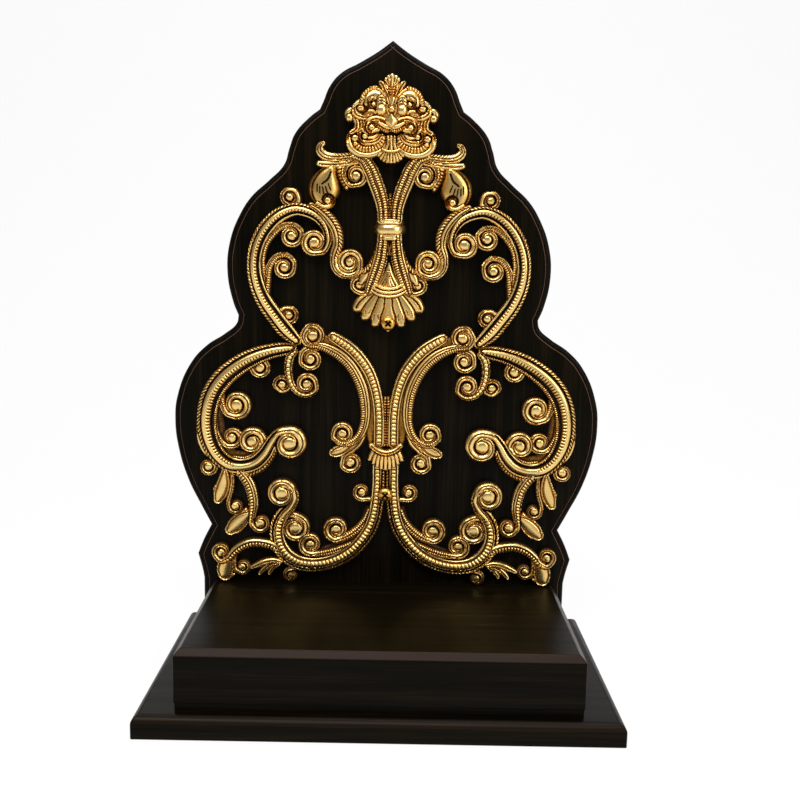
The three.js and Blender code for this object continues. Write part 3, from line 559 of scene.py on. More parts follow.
def woodScrewPiece(node, ahead):
    facts = screwFacts
    low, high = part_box(node)
    reach = max((high - low) / mm)
    profile = facts["woodHead"] + [(facts["woodCore"], reach - facts["woodTip"]), (0, reach)]
    screw = spunScrew(profile, facts["woodCross"])
    placeScrew(screw, middleOf(node) + Vector(ahead) * reach / 2, ahead)
    finishPiece(screw, node.replace("_", "") + "Steel", node, materials["zinc"])


def panScrewPiece(node, name):
    facts = screwFacts
    low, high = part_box(node)
    reach, front = (high.y - low.y) / mm, low.y / mm
    profile = facts["panHead"] + [(facts["panCore"], reach - facts["panTip"]), (0, reach)]
    screw = spunScrew(profile, facts["panCross"])
    sunk = screw.data.attributes.new("sunk", "FLOAT", "POINT")
    for value, corner in zip(sunk.data, screw.data.vertices):
        value.value = float(abs(corner.co.z / mm + facts["panCross"]) < 0.05)
    screw.data.transform(Matrix.Rotation(math.radians(facts["panTurn"]), 4, "Z"))
    place = middleOf(node)
    placeScrew(screw, (place.x, front, place.z), (0, -1, 0))
    finishPiece(screw, name, node, materials["screwBrass"])


for node in underScrews:
    woodScrewPiece(node, (0, 0, -1))
for node in backScrews:
    woodScrewPiece(node, (0, 1, 0))
panScrewPiece("shell_screw", "shellScrewBrass")
panScrewPiece("column_screw", "columnScrewBrass")
print("screws made")


# Brass: a casting is a grid of heights over the panel. Strands are laid on it one over the other, each along
# a drawn line that may wind up in a curl, and the grid ends where the strands end. A styled
# strand's face is split in lanes from its right side to its left side, as one walks it. A ridge is plain.

laneKinds = {  # marks: pitch in mm, depth as a share, slant across the lane, and the side where they start
    "line": {},
    "gap": {},
    "rope": {"pitch": 1.9, "depth": 0.95, "slant": 0.5},
    "rib": {"pitch": 1.9, "depth": 0.92, "slant": 0},
    "toothed": {"pitch": 1.9, "depth": 0.88, "slant": 0, "from": -0.1},
    "fine": {"pitch": 1.4, "depth": 0.88, "slant": 0},
    "bead": {"pitch": 2.3, "depth": 1.0, "slant": 0},
}

styles = {  # lanes as kind, share of the width, share of the height, from the right side to the left
    "scroll": [("rope", 0.2, 0.78), ("gap", 0.05, 0.5), ("toothed", 0.45, 1), ("gap", 0.11, 0.42),
               ("fine", 0.19, 0.8)],
    "wing": [("rope", 0.22, 0.82), ("gap", 0.05, 0.5), ("toothed", 0.43, 1), ("gap", 0.1, 0.42),
             ("line", 0.2, 0.8)],
    "foot": [("rope", 0.2, 0.8), ("gap", 0.07, 0.45), ("line", 0.13, 0.85), ("bead", 0.42, 1),
             ("line", 0.18, 0.7)],
    "stem": [("line", 0.12, 0.7), ("fine", 0.32, 0.96), ("line", 0.1, 0.84), ("fine", 0.28, 1),
             ("line", 0.18, 0.86)],
    "sprig": [("line", 0.14, 0.7), ("rib", 0.44, 1), ("line", 0.21, 0.92), ("line", 0.21, 0.8)],
    "beaded": [("line", 0.22, 0.86), ("bead", 0.56, 1), ("line", 0.22, 0.86)],
    "ribbed": [("line", 0.3, 0.92), ("line", 0.22, 0.94), ("fine", 0.48, 1)],
    "roped": [("rope", 0.45, 0.92), ("line", 0.28, 1), ("line", 0.27, 0.92)],
    "ribs": [("fine", 0.5, 0.95), ("fine", 0.5, 1)],
    "edged": [("line", 0.4, 1), ("rib", 0.6, 0.9)],
    "twin": [("line", 0.45, 1), ("line", 0.55, 0.88)],
    "single": [("line", 1, 1)],
    "plainRope": [("rope", 1, 1)],
    "finned": [("rib", 1, 1)],
}

brassFacts = {
    "grid": 0.3, "walk": 0.6,  # spacing of the heights, and of the points along a strand, in mm
    "plate": 1.4,  # height of the plate under the strands
    "sag": 0.2,  # share of the height by which a strand's sides lie below its middle
    "groove": 1.3,  # deepest groove between two lanes
    "grooveShare": 0.84, "grooveLeast": 0.25,  # its depth: a share of a lane's half width, plus a little
    "grooveHalf": 0.04, "grooveSlope": 0.3,  # flat bottom and slope of that groove on each side
    "border": 0.45, "ridgeBorder": 0.7,  # painted shade along the edge of each strand, and the share of it on a ridge
    "styledDark": 0.2, "ridgeDark": 0.4,  # what is left of the crest on that edge
    "styledFloor": 0.1, "ridgeFloor": 0.25,  # brightness at the bottom of the grooves, low as patina and painted shade
    "beadRound": 2.2, "markSharp": 2.4,  # roundness of a bead along its lane, sharpness of other marks
    "ridgeCrown": 2.8,  # power of a ridge's cross section: the higher, the flatter its top
    "cutDepth": 0.75, "wave": 0.6,  # depth of a line and of the marks on a ridge, as shares of the crest
    "fade": 4.0,  # marks fade out over this length before a curl
    "ends": 0.4,  # share of its width by which a styled strand is cut short at each end
    "slim": 0.55, "broad": 4,  # height of the thinnest strands as a share, and how soon it is full
    "cutHalf": 0.34,  # half width of a line engraved in a ridge
    "rim": 1.25, "rimGroove": 0.45,  # a leaf's raised rim and the groove inside it
    "leafFace": 0.8,  # height of the leaf inside its rim, and depth of the groove
    "bare": -9.0, "unlit": 0.08,  # what the grid holds before a strand is laid: no metal, dark lacquer
    "snap": 1.6,  # how far a corner on the rim may move to the strands' edge, in squares of the grid
    "leastSlope": 0.3,  # a flatter slope counts as this one there, so that no corner runs away
}

curlFacts = {
    "tipWidth": 1.8, "gap": 0.5,  # width of the ribbon where it runs into the eye, and its distance from it
    "gapShare": 0.07, "gapMost": 0.62,  # it grows with the curl, up to a share of the outer radius
    "steps": 12, "wind": 1.8,  # points in a turn, and how late the ribbon's outer side winds in
    "enter": 0.3,  # share of the curl in which its inner side comes over from the strand's
    "ahead": 0.97,  # the curl starts at least this far round from the strand's end, as a cosine
    "mergeLength": 3,  # length over which the strand's face turns into the ribbon's
    "crown": 2.6, "lineDepth": 0.95,  # roundness of the ribbon, and how deep its line goes
    "line": 0.22, "lineHalf": 0.46,  # the line engraved in the ribbon: its place across, its half width
    "eyeFoot": 0.72, "eyeDome": 0.26,  # the eye's edge and its dome, as shares of the rise
    "eyeEdge": 0.35,  # painted shade at the edge of the eye
    "tipReach": 3.4, "tipSlope": 1.6, "tipHeight": 0.85,  # the end of the ribbon that climbs onto the eye
}


def strand(style, rise, *path, **more):
    return {"style": style, "rise": rise, "path": list(path), **more}


def ridge(rise, *path, deep=2.5, **more):
    return {"rise": rise, "path": list(path), "deep": deep, **more}


def blend(t, start, end, first, last):
    return ((end - t) * first + (t - start) * last) / (end - start)


# A smooth curve through the points of a path, with its width, in even steps
def smoothLine(points):
    p = np.array(points, float)
    p = np.vstack([2 * p[0] - p[1], p, 2 * p[-1] - p[-2]])
    spans = np.linalg.norm(np.diff(p[:, :2], axis=0), axis=1)
    knots = np.concatenate([[0], np.cumsum(np.sqrt(spans))])
    dense = []
    for i in range(1, len(p) - 2):
        t0, t1, t2, t3 = knots[i - 1:i + 3]
        t = np.linspace(t1, t2, 24, endpoint=False)[:, None]
        a1 = blend(t, t0, t1, p[i - 1], p[i])
        a2 = blend(t, t1, t2, p[i], p[i + 1])
        a3 = blend(t, t2, t3, p[i + 1], p[i + 2])
        dense.append(blend(t, t1, t2, blend(t, t0, t2, a1, a2), blend(t, t1, t3, a2, a3)))
    dense = np.vstack(dense + [p[-2:-1]])
    run = np.concatenate([[0], np.cumsum(np.linalg.norm(np.diff(dense[:, :2], axis=0), axis=1))])
    places = np.linspace(0, run[-1], max(int(run[-1] / brassFacts["walk"]), 8) + 1)
    return places, np.stack([np.interp(places, run, dense[:, k]) for k in range(3)], axis=1)


# A curl is its centre, the radius of its eye, its turns, and how far off the centre its ribbon starts. It
# winds to the left, 1, or to the right, -1, as one walks the path.
def curlWay(path, curl):
    (x0, z0), (x1, z1) = path[-2][:2], path[-1][:2]
    return 1 if (x1 - x0) * (curl[1] - z1) - (z1 - z0) * (curl[0] - x1) > 0 else -1


def windUp(path, curl):
    facts = curlFacts
    cx, cz, eye, turns, start = curl
    x, z, wide = path[-1]
    way = curlWay(path, curl)
    ahead = min(start / math.hypot(x - cx, z - cz), facts["ahead"])
    angle = math.atan2(z - cz, x - cx) + way * math.acos(ahead)
    outer, inner = start + wide / 2, start - wide / 2
    beside = min(eye + max(facts["gap"], facts["gapShare"] * start), facts["gapMost"] * outer)
    steps = max(round(turns * facts["steps"]), 6)
    points = []
    for k in range(steps + 1):
        share = k / steps
        far = outer - (outer - eye) * share ** facts["wind"]
        near = beside * (1 - 2 * max(share - facts["enter"], 0) ** 2)
        near += max(inner - near, 0) * max(1 - share / facts["enter"], 0)
        radius = (far + near) / 2
        a = angle + way * share * turns * math.tau
        wide = max(far - near, facts["tipWidth"])
        points.append((cx + radius * math.cos(a), cz + radius * math.sin(a), wide))
    return points


# For each place of the grid: the distance to the line, how far along it, its half width there, and the side
def nearestOnLine(line, s, x, z):
    best = np.full(x.shape, 1e9)
    along, wide, side = np.zeros(x.shape), np.full(x.shape, line[0, 2]), np.zeros(x.shape)
    for k in range(len(line) - 1):
        (x0, z0, w0), (x1, z1, w1) = line[k], line[k + 1]
        dx, dz = x1 - x0, z1 - z0
        t = np.clip(((x - x0) * dx + (z - z0) * dz) / max(dx * dx + dz * dz, 1e-9), 0, 1)
        away = np.hypot(x - x0 - t * dx, z - z0 - t * dz)
        near = away < best
        best = np.where(near, away, best)
        along = np.where(near, s[k] + t * (s[k + 1] - s[k]), along)
        wide = np.where(near, w0 + t * (w1 - w0), wide)
        side = np.where(near, np.sign(dx * (z - z0) - dz * (x - x0)), side)
    return best, along, wide / 2, side


def engraved(place, middle, half, power=2):
    return np.exp(-np.abs((place - middle) / half) ** power)


# A crest goes from 0 at the bottom of a groove to 1 on top
def laneCrest(kind, along, v, fade):
    facts = laneKinds[kind]
    dome = (1 - np.minimum(np.abs(v), 1) ** 2) ** 0.5
    if kind == "gap":
        return 0 * dome
    if "pitch" not in facts:
        return dome
    turns = along / facts["pitch"] + facts["slant"] * v
    if kind == "bead":
        mark = (1 - np.abs(2 * (turns - np.floor(turns)) - 1) ** brassFacts["beadRound"]) ** 0.5
    else:
        mark = 1 - facts["depth"] * (0.5 + 0.5 * np.cos(math.tau * turns)) ** brassFacts["markSharp"]
    if "from" in facts:
        mark = 1 - (1 - mark) * np.clip((v - facts["from"]) / 0.25, 0, 1)
    return dome * (1 - (1 - mark) * fade)


def lanesRelief(facts, u, along, half, fade):
    lanes, turn = styles[facts["style"]], 1
    if facts.get("flip"):
        lanes, turn = lanes[::-1], -1
    crest, tall, start = np.zeros(u.shape), np.full(u.shape, lanes[-1][2]), -1.0
    for kind, share, height in lanes:
        end = start + 2 * share
        v = (u - (start + end) / 2) / share
        here = (u >= start) & (u <= end + 1e-6)
        off = (1 - np.abs(v)) * share * half - brassFacts["grooveHalf"]
        slope = np.clip(off / brassFacts["grooveSlope"], 0, 1)
        crest = np.where(here, laneCrest(kind, along, v * turn, fade) * slope, crest)
        tall = np.where(here, height, tall)
        start = end
    deep = brassFacts["grooveShare"] * half / len(lanes) + brassFacts["grooveLeast"]
    return tall, crest, np.minimum(deep, brassFacts["groove"])


def leafRelief(inside):
    rim, face = brassFacts["rim"], brassFacts["leafFace"]
    return (1 - face * engraved(inside, rim, brassFacts["rimGroove"])) * np.where(inside > rim, face, 1)


def ridgeRelief(facts, u, along, half):
    crest = (1 - np.abs(u) ** facts.get("crown", brassFacts["ridgeCrown"])) ** 0.5
    for cut in facts.get("cuts", ()):
        line = engraved(u * half, cut * half, brassFacts["cutHalf"])
        crest = crest * (1 - brassFacts["cutDepth"] * line)
    if "marks" in facts:
        low, high, pitch, slant = facts["marks"]
        wave = (0.5 + 0.5 * np.cos(math.tau * (along / pitch + slant * u))) ** 2
        crest = np.where((u >= low) & (u <= high), crest * (1 - brassFacts["wave"] * wave), crest)
    return crest


# Painted shade: the crest, and so the brightness, falls off towards a strand's edge
def darkEdge(crest, inside, border, dark):
    return crest * (dark + (1 - dark) * np.clip(inside / border, 0, 1))


# How tall the strand stands as a share of its rise, its crest, and how deep its grooves go
def strandRelief(facts, u, along, half, inside, fade):
    style, border, dark = facts.get("style"), brassFacts["border"], brassFacts["styledDark"]
    if style == "leaf":
        return 1, darkEdge(leafRelief(inside), inside, border, dark), brassFacts["groove"]
    if style:
        tall, crest, deep = lanesRelief(facts, u, along, half, fade)
        return tall, darkEdge(crest, inside, border, dark), deep
    border, dark = brassFacts["ridgeBorder"] * border, brassFacts["ridgeDark"]
    return 1, darkEdge(ridgeRelief(facts, u, along, half), inside, border, dark), facts["deep"]


# The curl's ribbon is plain with one engraved line, nearer to its outer side
def curlCrest(u, half, inside, way):
    facts = curlFacts
    cut = engraved(u * half, -way * facts["line"] * half, facts["lineHalf"], 4)
    crest = (1 - np.abs(u) ** facts["crown"]) ** 0.5 * (1 - facts["lineDepth"] * cut)
    return darkEdge(crest, inside, brassFacts["border"], brassFacts["styledDark"])


# The eye is a dome with a rim of painted shade, and the ribbon's tip runs into it
def eyeCrest(away, eye, toEnd, inside):
    facts = curlFacts
    dome = darkEdge((1 - np.clip(away / eye, 0, 1) ** 3) ** 0.5, eye - away, facts["eyeEdge"], 0.3)
    tip = np.clip((facts["tipReach"] - toEnd) / facts["tipSlope"], 0, 1) * np.clip(inside / 0.4 + 0.5, 0, 1)
    return np.maximum(dome, facts["tipHeight"] * tip)


def gridWindow(field, line, curl):
    grid, margin = brassFacts["grid"], 0.6
    reach = line[:, 2].max() / 2 + margin
    low, high = line[:, :2].min(axis=0) - reach, line[:, :2].max(axis=0) + reach
    if curl:
        centre, spread = np.array(curl[:2]), max(curl[2], curl[4]) + margin
        low, high = np.minimum(low, centre - spread), np.maximum(high, centre + spread)
    i0, j0 = np.maximum((low - field["low"]) / grid, 0).astype(int)
    i1, j1 = ((high - field["low"]) / grid).astype(int) + 2
    return slice(j0, j1), slice(None) if field["mirrored"] else slice(i0, i1)


def layOn(field, window, over, inside, height, mark):
    field["inside"][window] = np.maximum(field["inside"][window], inside)
    field["height"][window] = np.where(over, height, field["height"][window])
    field["mark"][window] = np.where(over, mark, field["mark"][window])


# A strand's line is smoothed with its curl, its face is carved, and both are laid on the grid
def layStrand(field, facts):
    path, curl, styled = facts["path"], facts.get("curl"), "style" in facts
    s, line = smoothLine(path + (windUp(path, curl) if curl else []))
    first, last = brassFacts["ends"] * line[0, 2], 0 if curl else brassFacts["ends"] * line[-1, 2]
    trim = (s >= first) & (s <= s[-1] - last)
    if styled and trim.sum() > 2:
        s, line = s[trim], line[trim]
    window = gridWindow(field, line, curl)
    x, z = np.abs(field["x"][window]), field["z"][window]
    away, along, half, side = nearestOnLine(line, s, x, z)
    inside = half - away
    u = np.clip(away / half, 0, 1) * side
    straight = sum(math.dist(a[:2], b[:2]) for a, b in zip(path, path[1:]))
    fade = np.ones(u.shape)
    if curl or "smoothTail" in facts:
        fade = np.clip((straight - facts.get("smoothTail", 0) - along) / brassFacts["fade"], 0, 1)
    tall, crest, deep = strandRelief(facts, u, along, half, inside, fade)
    if curl:
        wound = np.clip((along - straight) / curlFacts["mergeLength"] + 0.5, 0, 1)
        crest = crest + (curlCrest(u, half, inside, curlWay(path, curl)) - crest) * wound
        tall = tall + (1 - tall) * wound
    if styled:  # slim strands stand lower, and so do the sides of each
        full, slim = np.clip(brassFacts["broad"] * half / facts["rise"], 0, 1), brassFacts["slim"]
        tall = tall * (slim + (1 - slim) * full) * (1 - brassFacts["sag"] * u ** 2)
    # The crest also sets the brass's brightness: dark in the grooves, at the edges and where the tone is
    # low, partly patina and partly painted shade
    tone, floor = facts.get("tone", 1), brassFacts["styledFloor" if styled else "ridgeFloor"]
    height = facts["rise"] * tall - deep * (1 - crest)
    layOn(field, window, inside > 0, inside, height, (floor + (1 - floor) * crest) * tone)
    if curl:
        cx, cz, eye, _, start = curl
        away = np.hypot(x - cx, z - cz)
        crest = eyeCrest(away, eye, s[-1] - along, inside)
        height = facts["rise"] * (curlFacts["eyeFoot"] + curlFacts["eyeDome"] * crest)
        layOn(field, window, away < eye, start - away, height, (floor + (1 - floor) * crest) * tone)


def boundsOf(strands):
    spots = []
    for facts in strands:
        spots += [(x, z, w / 2 + 1) for x, z, w in facts["path"]]
        if "curl" in facts:
            x, z, _, _, start = facts["curl"]
            spots.append((x, z, start + 3))
    x, z, reach = np.array(spots).T
    return np.array([(x - reach).min(), (z - reach).min()]), np.array([(x + reach).max(), (z + reach).max()])


def emptyGrid(strands, mirrored):
    grid = brassFacts["grid"]
    low, high = boundsOf(strands)
    if mirrored:
        low[0] = -high[0]
    columns, rows = ((high - low) / grid).astype(int) + 1
    x, z = np.meshgrid(low[0] + grid * np.arange(columns), low[1] + grid * np.arange(rows))
    return {"x": x, "z": z, "low": low, "mirrored": mirrored, "inside": np.full(x.shape, brassFacts["bare"]),
            "height": np.full(x.shape, brassFacts["plate"]), "mark": np.full(x.shape, brassFacts["unlit"])}


def cornersOf(grid):
    return grid[:-1, :-1], grid[:-1, 1:], grid[1:, 1:], grid[1:, :-1]


# The kept squares of the grid are closed with walls and a flat back, and the corners on the rim move onto
# the strands' own edge
def carvedBody(strands, mirrored=False):
    field = emptyGrid(strands, mirrored)
    for facts in strands:
        layStrand(field, facts)
    inside, grid = field["inside"], brassFacts["grid"]
    kept = np.all(cornersOf(inside > 0), axis=0)
    around = np.pad(kept, 1)
    rim = np.any(cornersOf(around), axis=0) & ~np.all(cornersOf(around), axis=0)
    slopeZ, slopeX = np.gradient(inside, grid)
    steep = np.maximum(np.hypot(slopeX, slopeZ), brassFacts["leastSlope"])
    push = np.where(rim, np.minimum(inside, brassFacts["snap"] * grid) / steep ** 2, 0)
    x, z = field["x"] - slopeX * push, field["z"] - slopeZ * push
    a, b, c, d = cornersOf(np.arange(x.size).reshape(x.shape))
    front = np.stack([a, b, c, d], axis=2)[kept]
    walls = []
    for first, second, beside in ((a, b, around[:-2, 1:-1]), (b, c, around[1:-1, 2:]),
                                  (c, d, around[2:, 1:-1]), (d, a, around[1:-1, :-2])):
        start, end = first[kept & ~beside], second[kept & ~beside]
        walls.append(np.stack([start, start + x.size, end + x.size, end], axis=1))
    faces = np.vstack([front, front[:, ::-1] + x.size] + walls)
    y = np.concatenate([brassBack - field["height"].ravel(), np.full(x.size, brassBack)])
    points = np.stack([np.tile(x.ravel(), 2), y, seatTop + np.tile(z.ravel(), 2)], axis=1) * mm
    marks = np.concatenate([field["mark"].ravel(), np.zeros(x.size)])
    used = np.unique(faces)
    renumber = np.zeros(len(points), int)
    renumber[used] = np.arange(len(used))
    return points[used], renumber[faces].tolist(), marks[used]


def addCasting(name, node, body):
    points, faces, marks = body
    mesh = bpy.data.meshes.new(name)
    mesh.from_pydata(points.tolist(), [], faces)
    mesh.attributes.new("relief", "FLOAT", "POINT").data.foreach_set("value", marks)
    mesh.update()
    casting = bpy.data.objects.new(name, mesh)
    bpy.context.collection.objects.link(casting)
    finishPiece(casting, name, node, materials["brass"], 50)


def addPair(name, node, strands):
    points, faces, marks = carvedBody(strands)
    addCasting(name + "Right", node + "_right", (points, faces, marks))
    mirrored = points * np.array([-1, 1, 1]), [face[::-1] for face in faces], marks
    addCasting(name + "Left", node + "_left", mirrored)


def addCentred(name, node, strands):
    addCasting(name, node, carvedBody(strands, True))


# Points are the distance from the centre line, the height over the seat and the width. Each list starts with
# the strand that lies lowest, and a later one lies over it. A flipped strand has its lanes the other way
# round, and the end that smoothTail measures bears no marks. A ridge may have cuts along it, and marks that
# cross it between two places with a pitch and a slant. A tone below 1 darkens: painted shade on the low
# webs and ridges that lie under others, and on the thin lines that stand for cut grooves.

lowerScroll = [
    strand("single", 2, (93.4, 123, 5), (97.6, 112, 7), (98.6, 98, 8), (95.8, 84, 8), (89.6, 77, 7),
           (80, 76, 6), (73, 80, 5), tone=0.35),
    strand("plainRope", 5.6, (94, 68, 2), (86, 65.2, 3), (77.5, 65.8, 3.6), (71, 69.6, 3.6),
           (66.4, 75.4, 3.2), (63.4, 81.4, 2.6)),
    strand("twin", 5, (108.8, 95, 2.6), (108.4, 86, 3.2), (105.6, 79, 3.2), (101.8, 75, 3),
           curl=(103.4, 69.4, 2.3, 1.15, 4.3)),
    strand("twin", 5.6, (84.4, 133, 2.6), (80.6, 130.4, 3.2), (77.6, 126.6, 3), flip=True,
           curl=(72.9, 128.3, 2.6, 1.15, 4.9)),
    strand("ribbed", 5.6, (98.6, 99, 2.4), (98.4, 91, 3.2), (95.8, 85, 3.4), (92.4, 82.2, 3.2), flip=True,
           curl=(89.4, 87, 2.5, 1.15, 5.1)),
    strand("ribbed", 6, (91.6, 122, 2.6), (94.8, 114.8, 3.6), (95.2, 107.4, 4), (92.6, 101.4, 3.8),
           flip=True, curl=(86.6, 106.2, 3.3, 1.3, 7)),
    strand("ribbed", 6, (89, 75.6, 2.4), (82, 74.8, 3.2), (75.6, 77.4, 3.8), (72.4, 82.4, 3.8), flip=True,
           curl=(77.9, 84.9, 3, 1.3, 6.8)),
    strand("scroll", 7, (53, 140, 4), (59, 139.2, 7.5), (67, 137.6, 8.8), (76, 134.4, 10.4),
           (85.6, 129, 11.4), (94.4, 121.6, 12), (100.6, 112.4, 12.2), (103.6, 101.8, 12.2),
           (103.8, 91.5, 11.8), (101.4, 82.5, 11), (97, 75.4, 10.4), (90.6, 71, 10), (83, 70.2, 9.6),
           (76, 72.4, 9.6), (70.6, 77.6, 9), (66.6, 84.4, 7.4), (62.4, 90, 5.6), flip=True, smoothTail=34,
           curl=(55.9, 84.2, 3.9, 1.3, 7.5)),
]

footScroll = [
    strand("single", 2, (9, 47, 4), (13, 34, 7), (22, 24.6, 8), (34, 18.6, 7), (44, 17, 5), tone=0.35),
    strand("twin", 5.2, (44, 9.8, 2.4), (50.6, 9.2, 2.6), curl=(55, 4.6, 2, 1, 3.7)),
    strand("twin", 5.4, (7.8, 51.4, 3), (11.4, 51.6, 2.9), curl=(13.7, 55.8, 2.2, 1, 4.2)),
    strand("twin", 5.8, (62, 36.6, 3), (59, 40.2, 3.6), (53.6, 41.2, 3.8), curl=(52.4, 33.3, 3.7, 1.3, 7)),
    strand("ribs", 6, (16.8, 26, 3.4), (24.8, 21.8, 4.6), (34, 18.8, 4.6), (41.4, 18, 3.8),
           curl=(43.5, 23.7, 2.6, 1.3, 5.6)),
    strand("ribs", 6, (8.6, 46.5, 3.4), (11.6, 38.8, 4.6), (16.4, 33, 4.8), (22, 29, 4.6),
           (27.4, 27, 3.8), curl=(28.4, 33, 2.9, 1.3, 6.2)),
    strand("foot", 7, (4, 74.5, 7.4), (4, 67, 7.4), (4.1, 59, 7.5), (4.7, 50, 7.8), (6, 41.5, 8.2),
           (8.4, 34.2, 8.4), (12.4, 27.4, 8.6), (18, 21, 8.6), (24.7, 16, 8.6), (32.6, 12.6, 8.6),
           (42, 11, 8.8), (50.3, 12, 9), (56.6, 15.4, 9), (61, 20.8, 9), (63.2, 28, 8.8),
           (62.8, 35.4, 8.4), (59.8, 41.6, 7.8), (55.6, 46.4, 6.8), (53.2, 51.4, 5.6), (54.2, 56.8, 4.6),
           smoothTail=16, curl=(60.4, 54.3, 4, 1.3, 6.6)),
]

footSpray = [
    strand("twin", 4.6, (61.5, 11.2, 2.2), (64.8, 9.4, 3), (67.2, 6.6, 3), (68.6, 4.1, 1.8)),
    strand("twin", 4.8, (62.1, 12, 2.4), (66.8, 11, 3.4), (71, 7.8, 3.4), (74.4, 4.1, 2)),
    strand("twin", 5, (60.1, 12.2, 2.4), (65, 13.2, 3.4), (70.4, 12.2, 3.8), (75.4, 10, 3.4),
           (79.3, 8.2, 2)),
    strand("twin", 5.4, (87.9, 17, 2.4), (88.8, 12.2, 2.8), (87.9, 7.6, 2.8), curl=(83.7, 9.2, 2, 1, 3.6)),
    strand("single", 4.6, (87.9, 5.1, 1.6), (90.8, 2.6, 1.8), (95.2, 2.3, 1.8), (98.8, 3.9, 1.6)),
    strand("leaf", 5.8, (90.6, 16.2, 3), (92.4, 12.6, 8), (93.8, 8.6, 10), (94, 5.1, 9), (93.6, 2.5, 5)),
    strand("edged", 6, (57.1, 14.2, 3.4), (60.3, 18.3, 5), (65.4, 21.9, 5.6), (71.4, 23.7, 5.8),
           (77.7, 23.9, 5.8), (83.7, 21.9, 5.6), (88.6, 18.2, 5), (92.2, 14.2, 4), (96.6, 12.5, 3.2),
           flip=True, curl=(96.2, 18, 2.2, 1, 4.2)),
]

dropSprig = [
    strand("single", 4.6, (80.7, 44.9, 2.2), (84.1, 41.9, 2.4), (88.8, 40.4, 2)),
    strand("leaf", 5.6, (78.5, 42.7, 3), (81.9, 40, 7.4), (85.9, 36.2, 9.6), (89.4, 32.8, 8.6),
           (92, 30.4, 4)),
    strand("twin", 5.2, (90, 67.1, 2.2), (89.4, 61.2, 2.6), (90.2, 54.8, 2.8), (91.8, 49.3, 2.6),
           curl=(87.7, 45.9, 2.2, 1, 3.8)),
    strand("single", 5, (95.8, 59.4, 2), (99, 57.4, 2.6), (100.5, 54.8, 2)),
    strand("leaf", 6, (93.8, 68.1, 3), (94.2, 63.2, 6), (95.2, 57.6, 8), (96.8, 52.7, 7.6),
           (98.2, 48.3, 4)),
    strand("sprig", 6.2, (86.9, 68.5, 4.6), (83.7, 64.9, 6), (80.1, 59.8, 6.4), (77.9, 53.2, 6.4),
           (77.2, 46.9, 6), (77.9, 41, 4.6), (78.3, 35.8, 3.4), flip=True, curl=(73, 36, 2.6, 1, 4.2)),
]

upperWing = [
    strand("single", 5.4, (53, 219, 3.4), (51.2, 223.6, 3), (53.4, 228.2, 2.6), (58, 228.6, 2.4),
           curl=(56.3, 224.6, 2.1, 1.15, 4.4)),
    strand("single", 5.4, (61.4, 151, 2.8), (62.8, 157.5, 2.8), (59.6, 162.4, 2.6), (54.6, 162.4, 2.4),
           curl=(56.6, 158.4, 2.1, 1.15, 4.4)),
    strand("ribbed", 6, (67, 160, 3), (69.6, 168, 5), (69.5, 177, 5.5), (67.7, 186, 4.2),
           (63.6, 191.5, 3.6), (57.8, 192.4, 3), (53.8, 188.6, 2.8), curl=(59.2, 185.4, 2.5, 1.15, 5.4)),
    strand("ribbed", 6, (70.5, 176, 2), (71.5, 190, 3), (69.8, 198, 3.8), (65.2, 204.4, 3.6),
           (59.5, 208.9, 3.4), (53.6, 209.2, 3), (49.6, 205.6, 2.8), curl=(55.2, 203.2, 2.5, 1.15, 5.4)),
    strand("wing", 7, (50.5, 142.5, 5), (58.5, 150, 9.5), (64.5, 157.5, 9.6), (70.5, 166, 9.2),
           (74.2, 174, 8.8), (76.2, 183, 8.4), (76, 192, 8.4), (73.3, 201, 8.4), (68.3, 209, 8.4),
           (61.5, 215, 8), (53.5, 218, 7.4), (46.5, 217, 6.8), (40, 213.5, 6), (35.8, 207.5, 5),
           (34.6, 200.5, 4.2), (37.4, 194.8, 3.6), smoothTail=8, curl=(42.2, 199.8, 3, 1.3, 6.2)),
]

wingScroll = [
    strand("roped", 7, (45, 221, 3), (39.5, 218, 5), (34, 213, 6.5), (30, 206.5, 6.7), (29, 199, 6.2),
           (31, 192.5, 5.4), (30.8, 186.6, 4.6), (27.6, 182.6, 4.2), (22.4, 181.4, 3.8), (17.2, 184, 3.5),
           smoothTail=18, curl=(22.3, 189.2, 2.4, 1.4, 6)),
]

leafSpray = [
    strand("twin", 5.2, (18, 244.6, 3), (28, 243.4, 4.2), (35.7, 242.9, 5), (41.6, 243.6, 3.2)),
    strand("roped", 5.8, (13.9, 248, 3.4), (22.3, 247.6, 4.4), (30.5, 246.8, 4.8), (36.4, 247.6, 5.2),
           (39.6, 250.6, 4.8), (38.8, 253.6, 3.4), (36.6, 254.6, 2), flip=True, smoothTail=13),
]

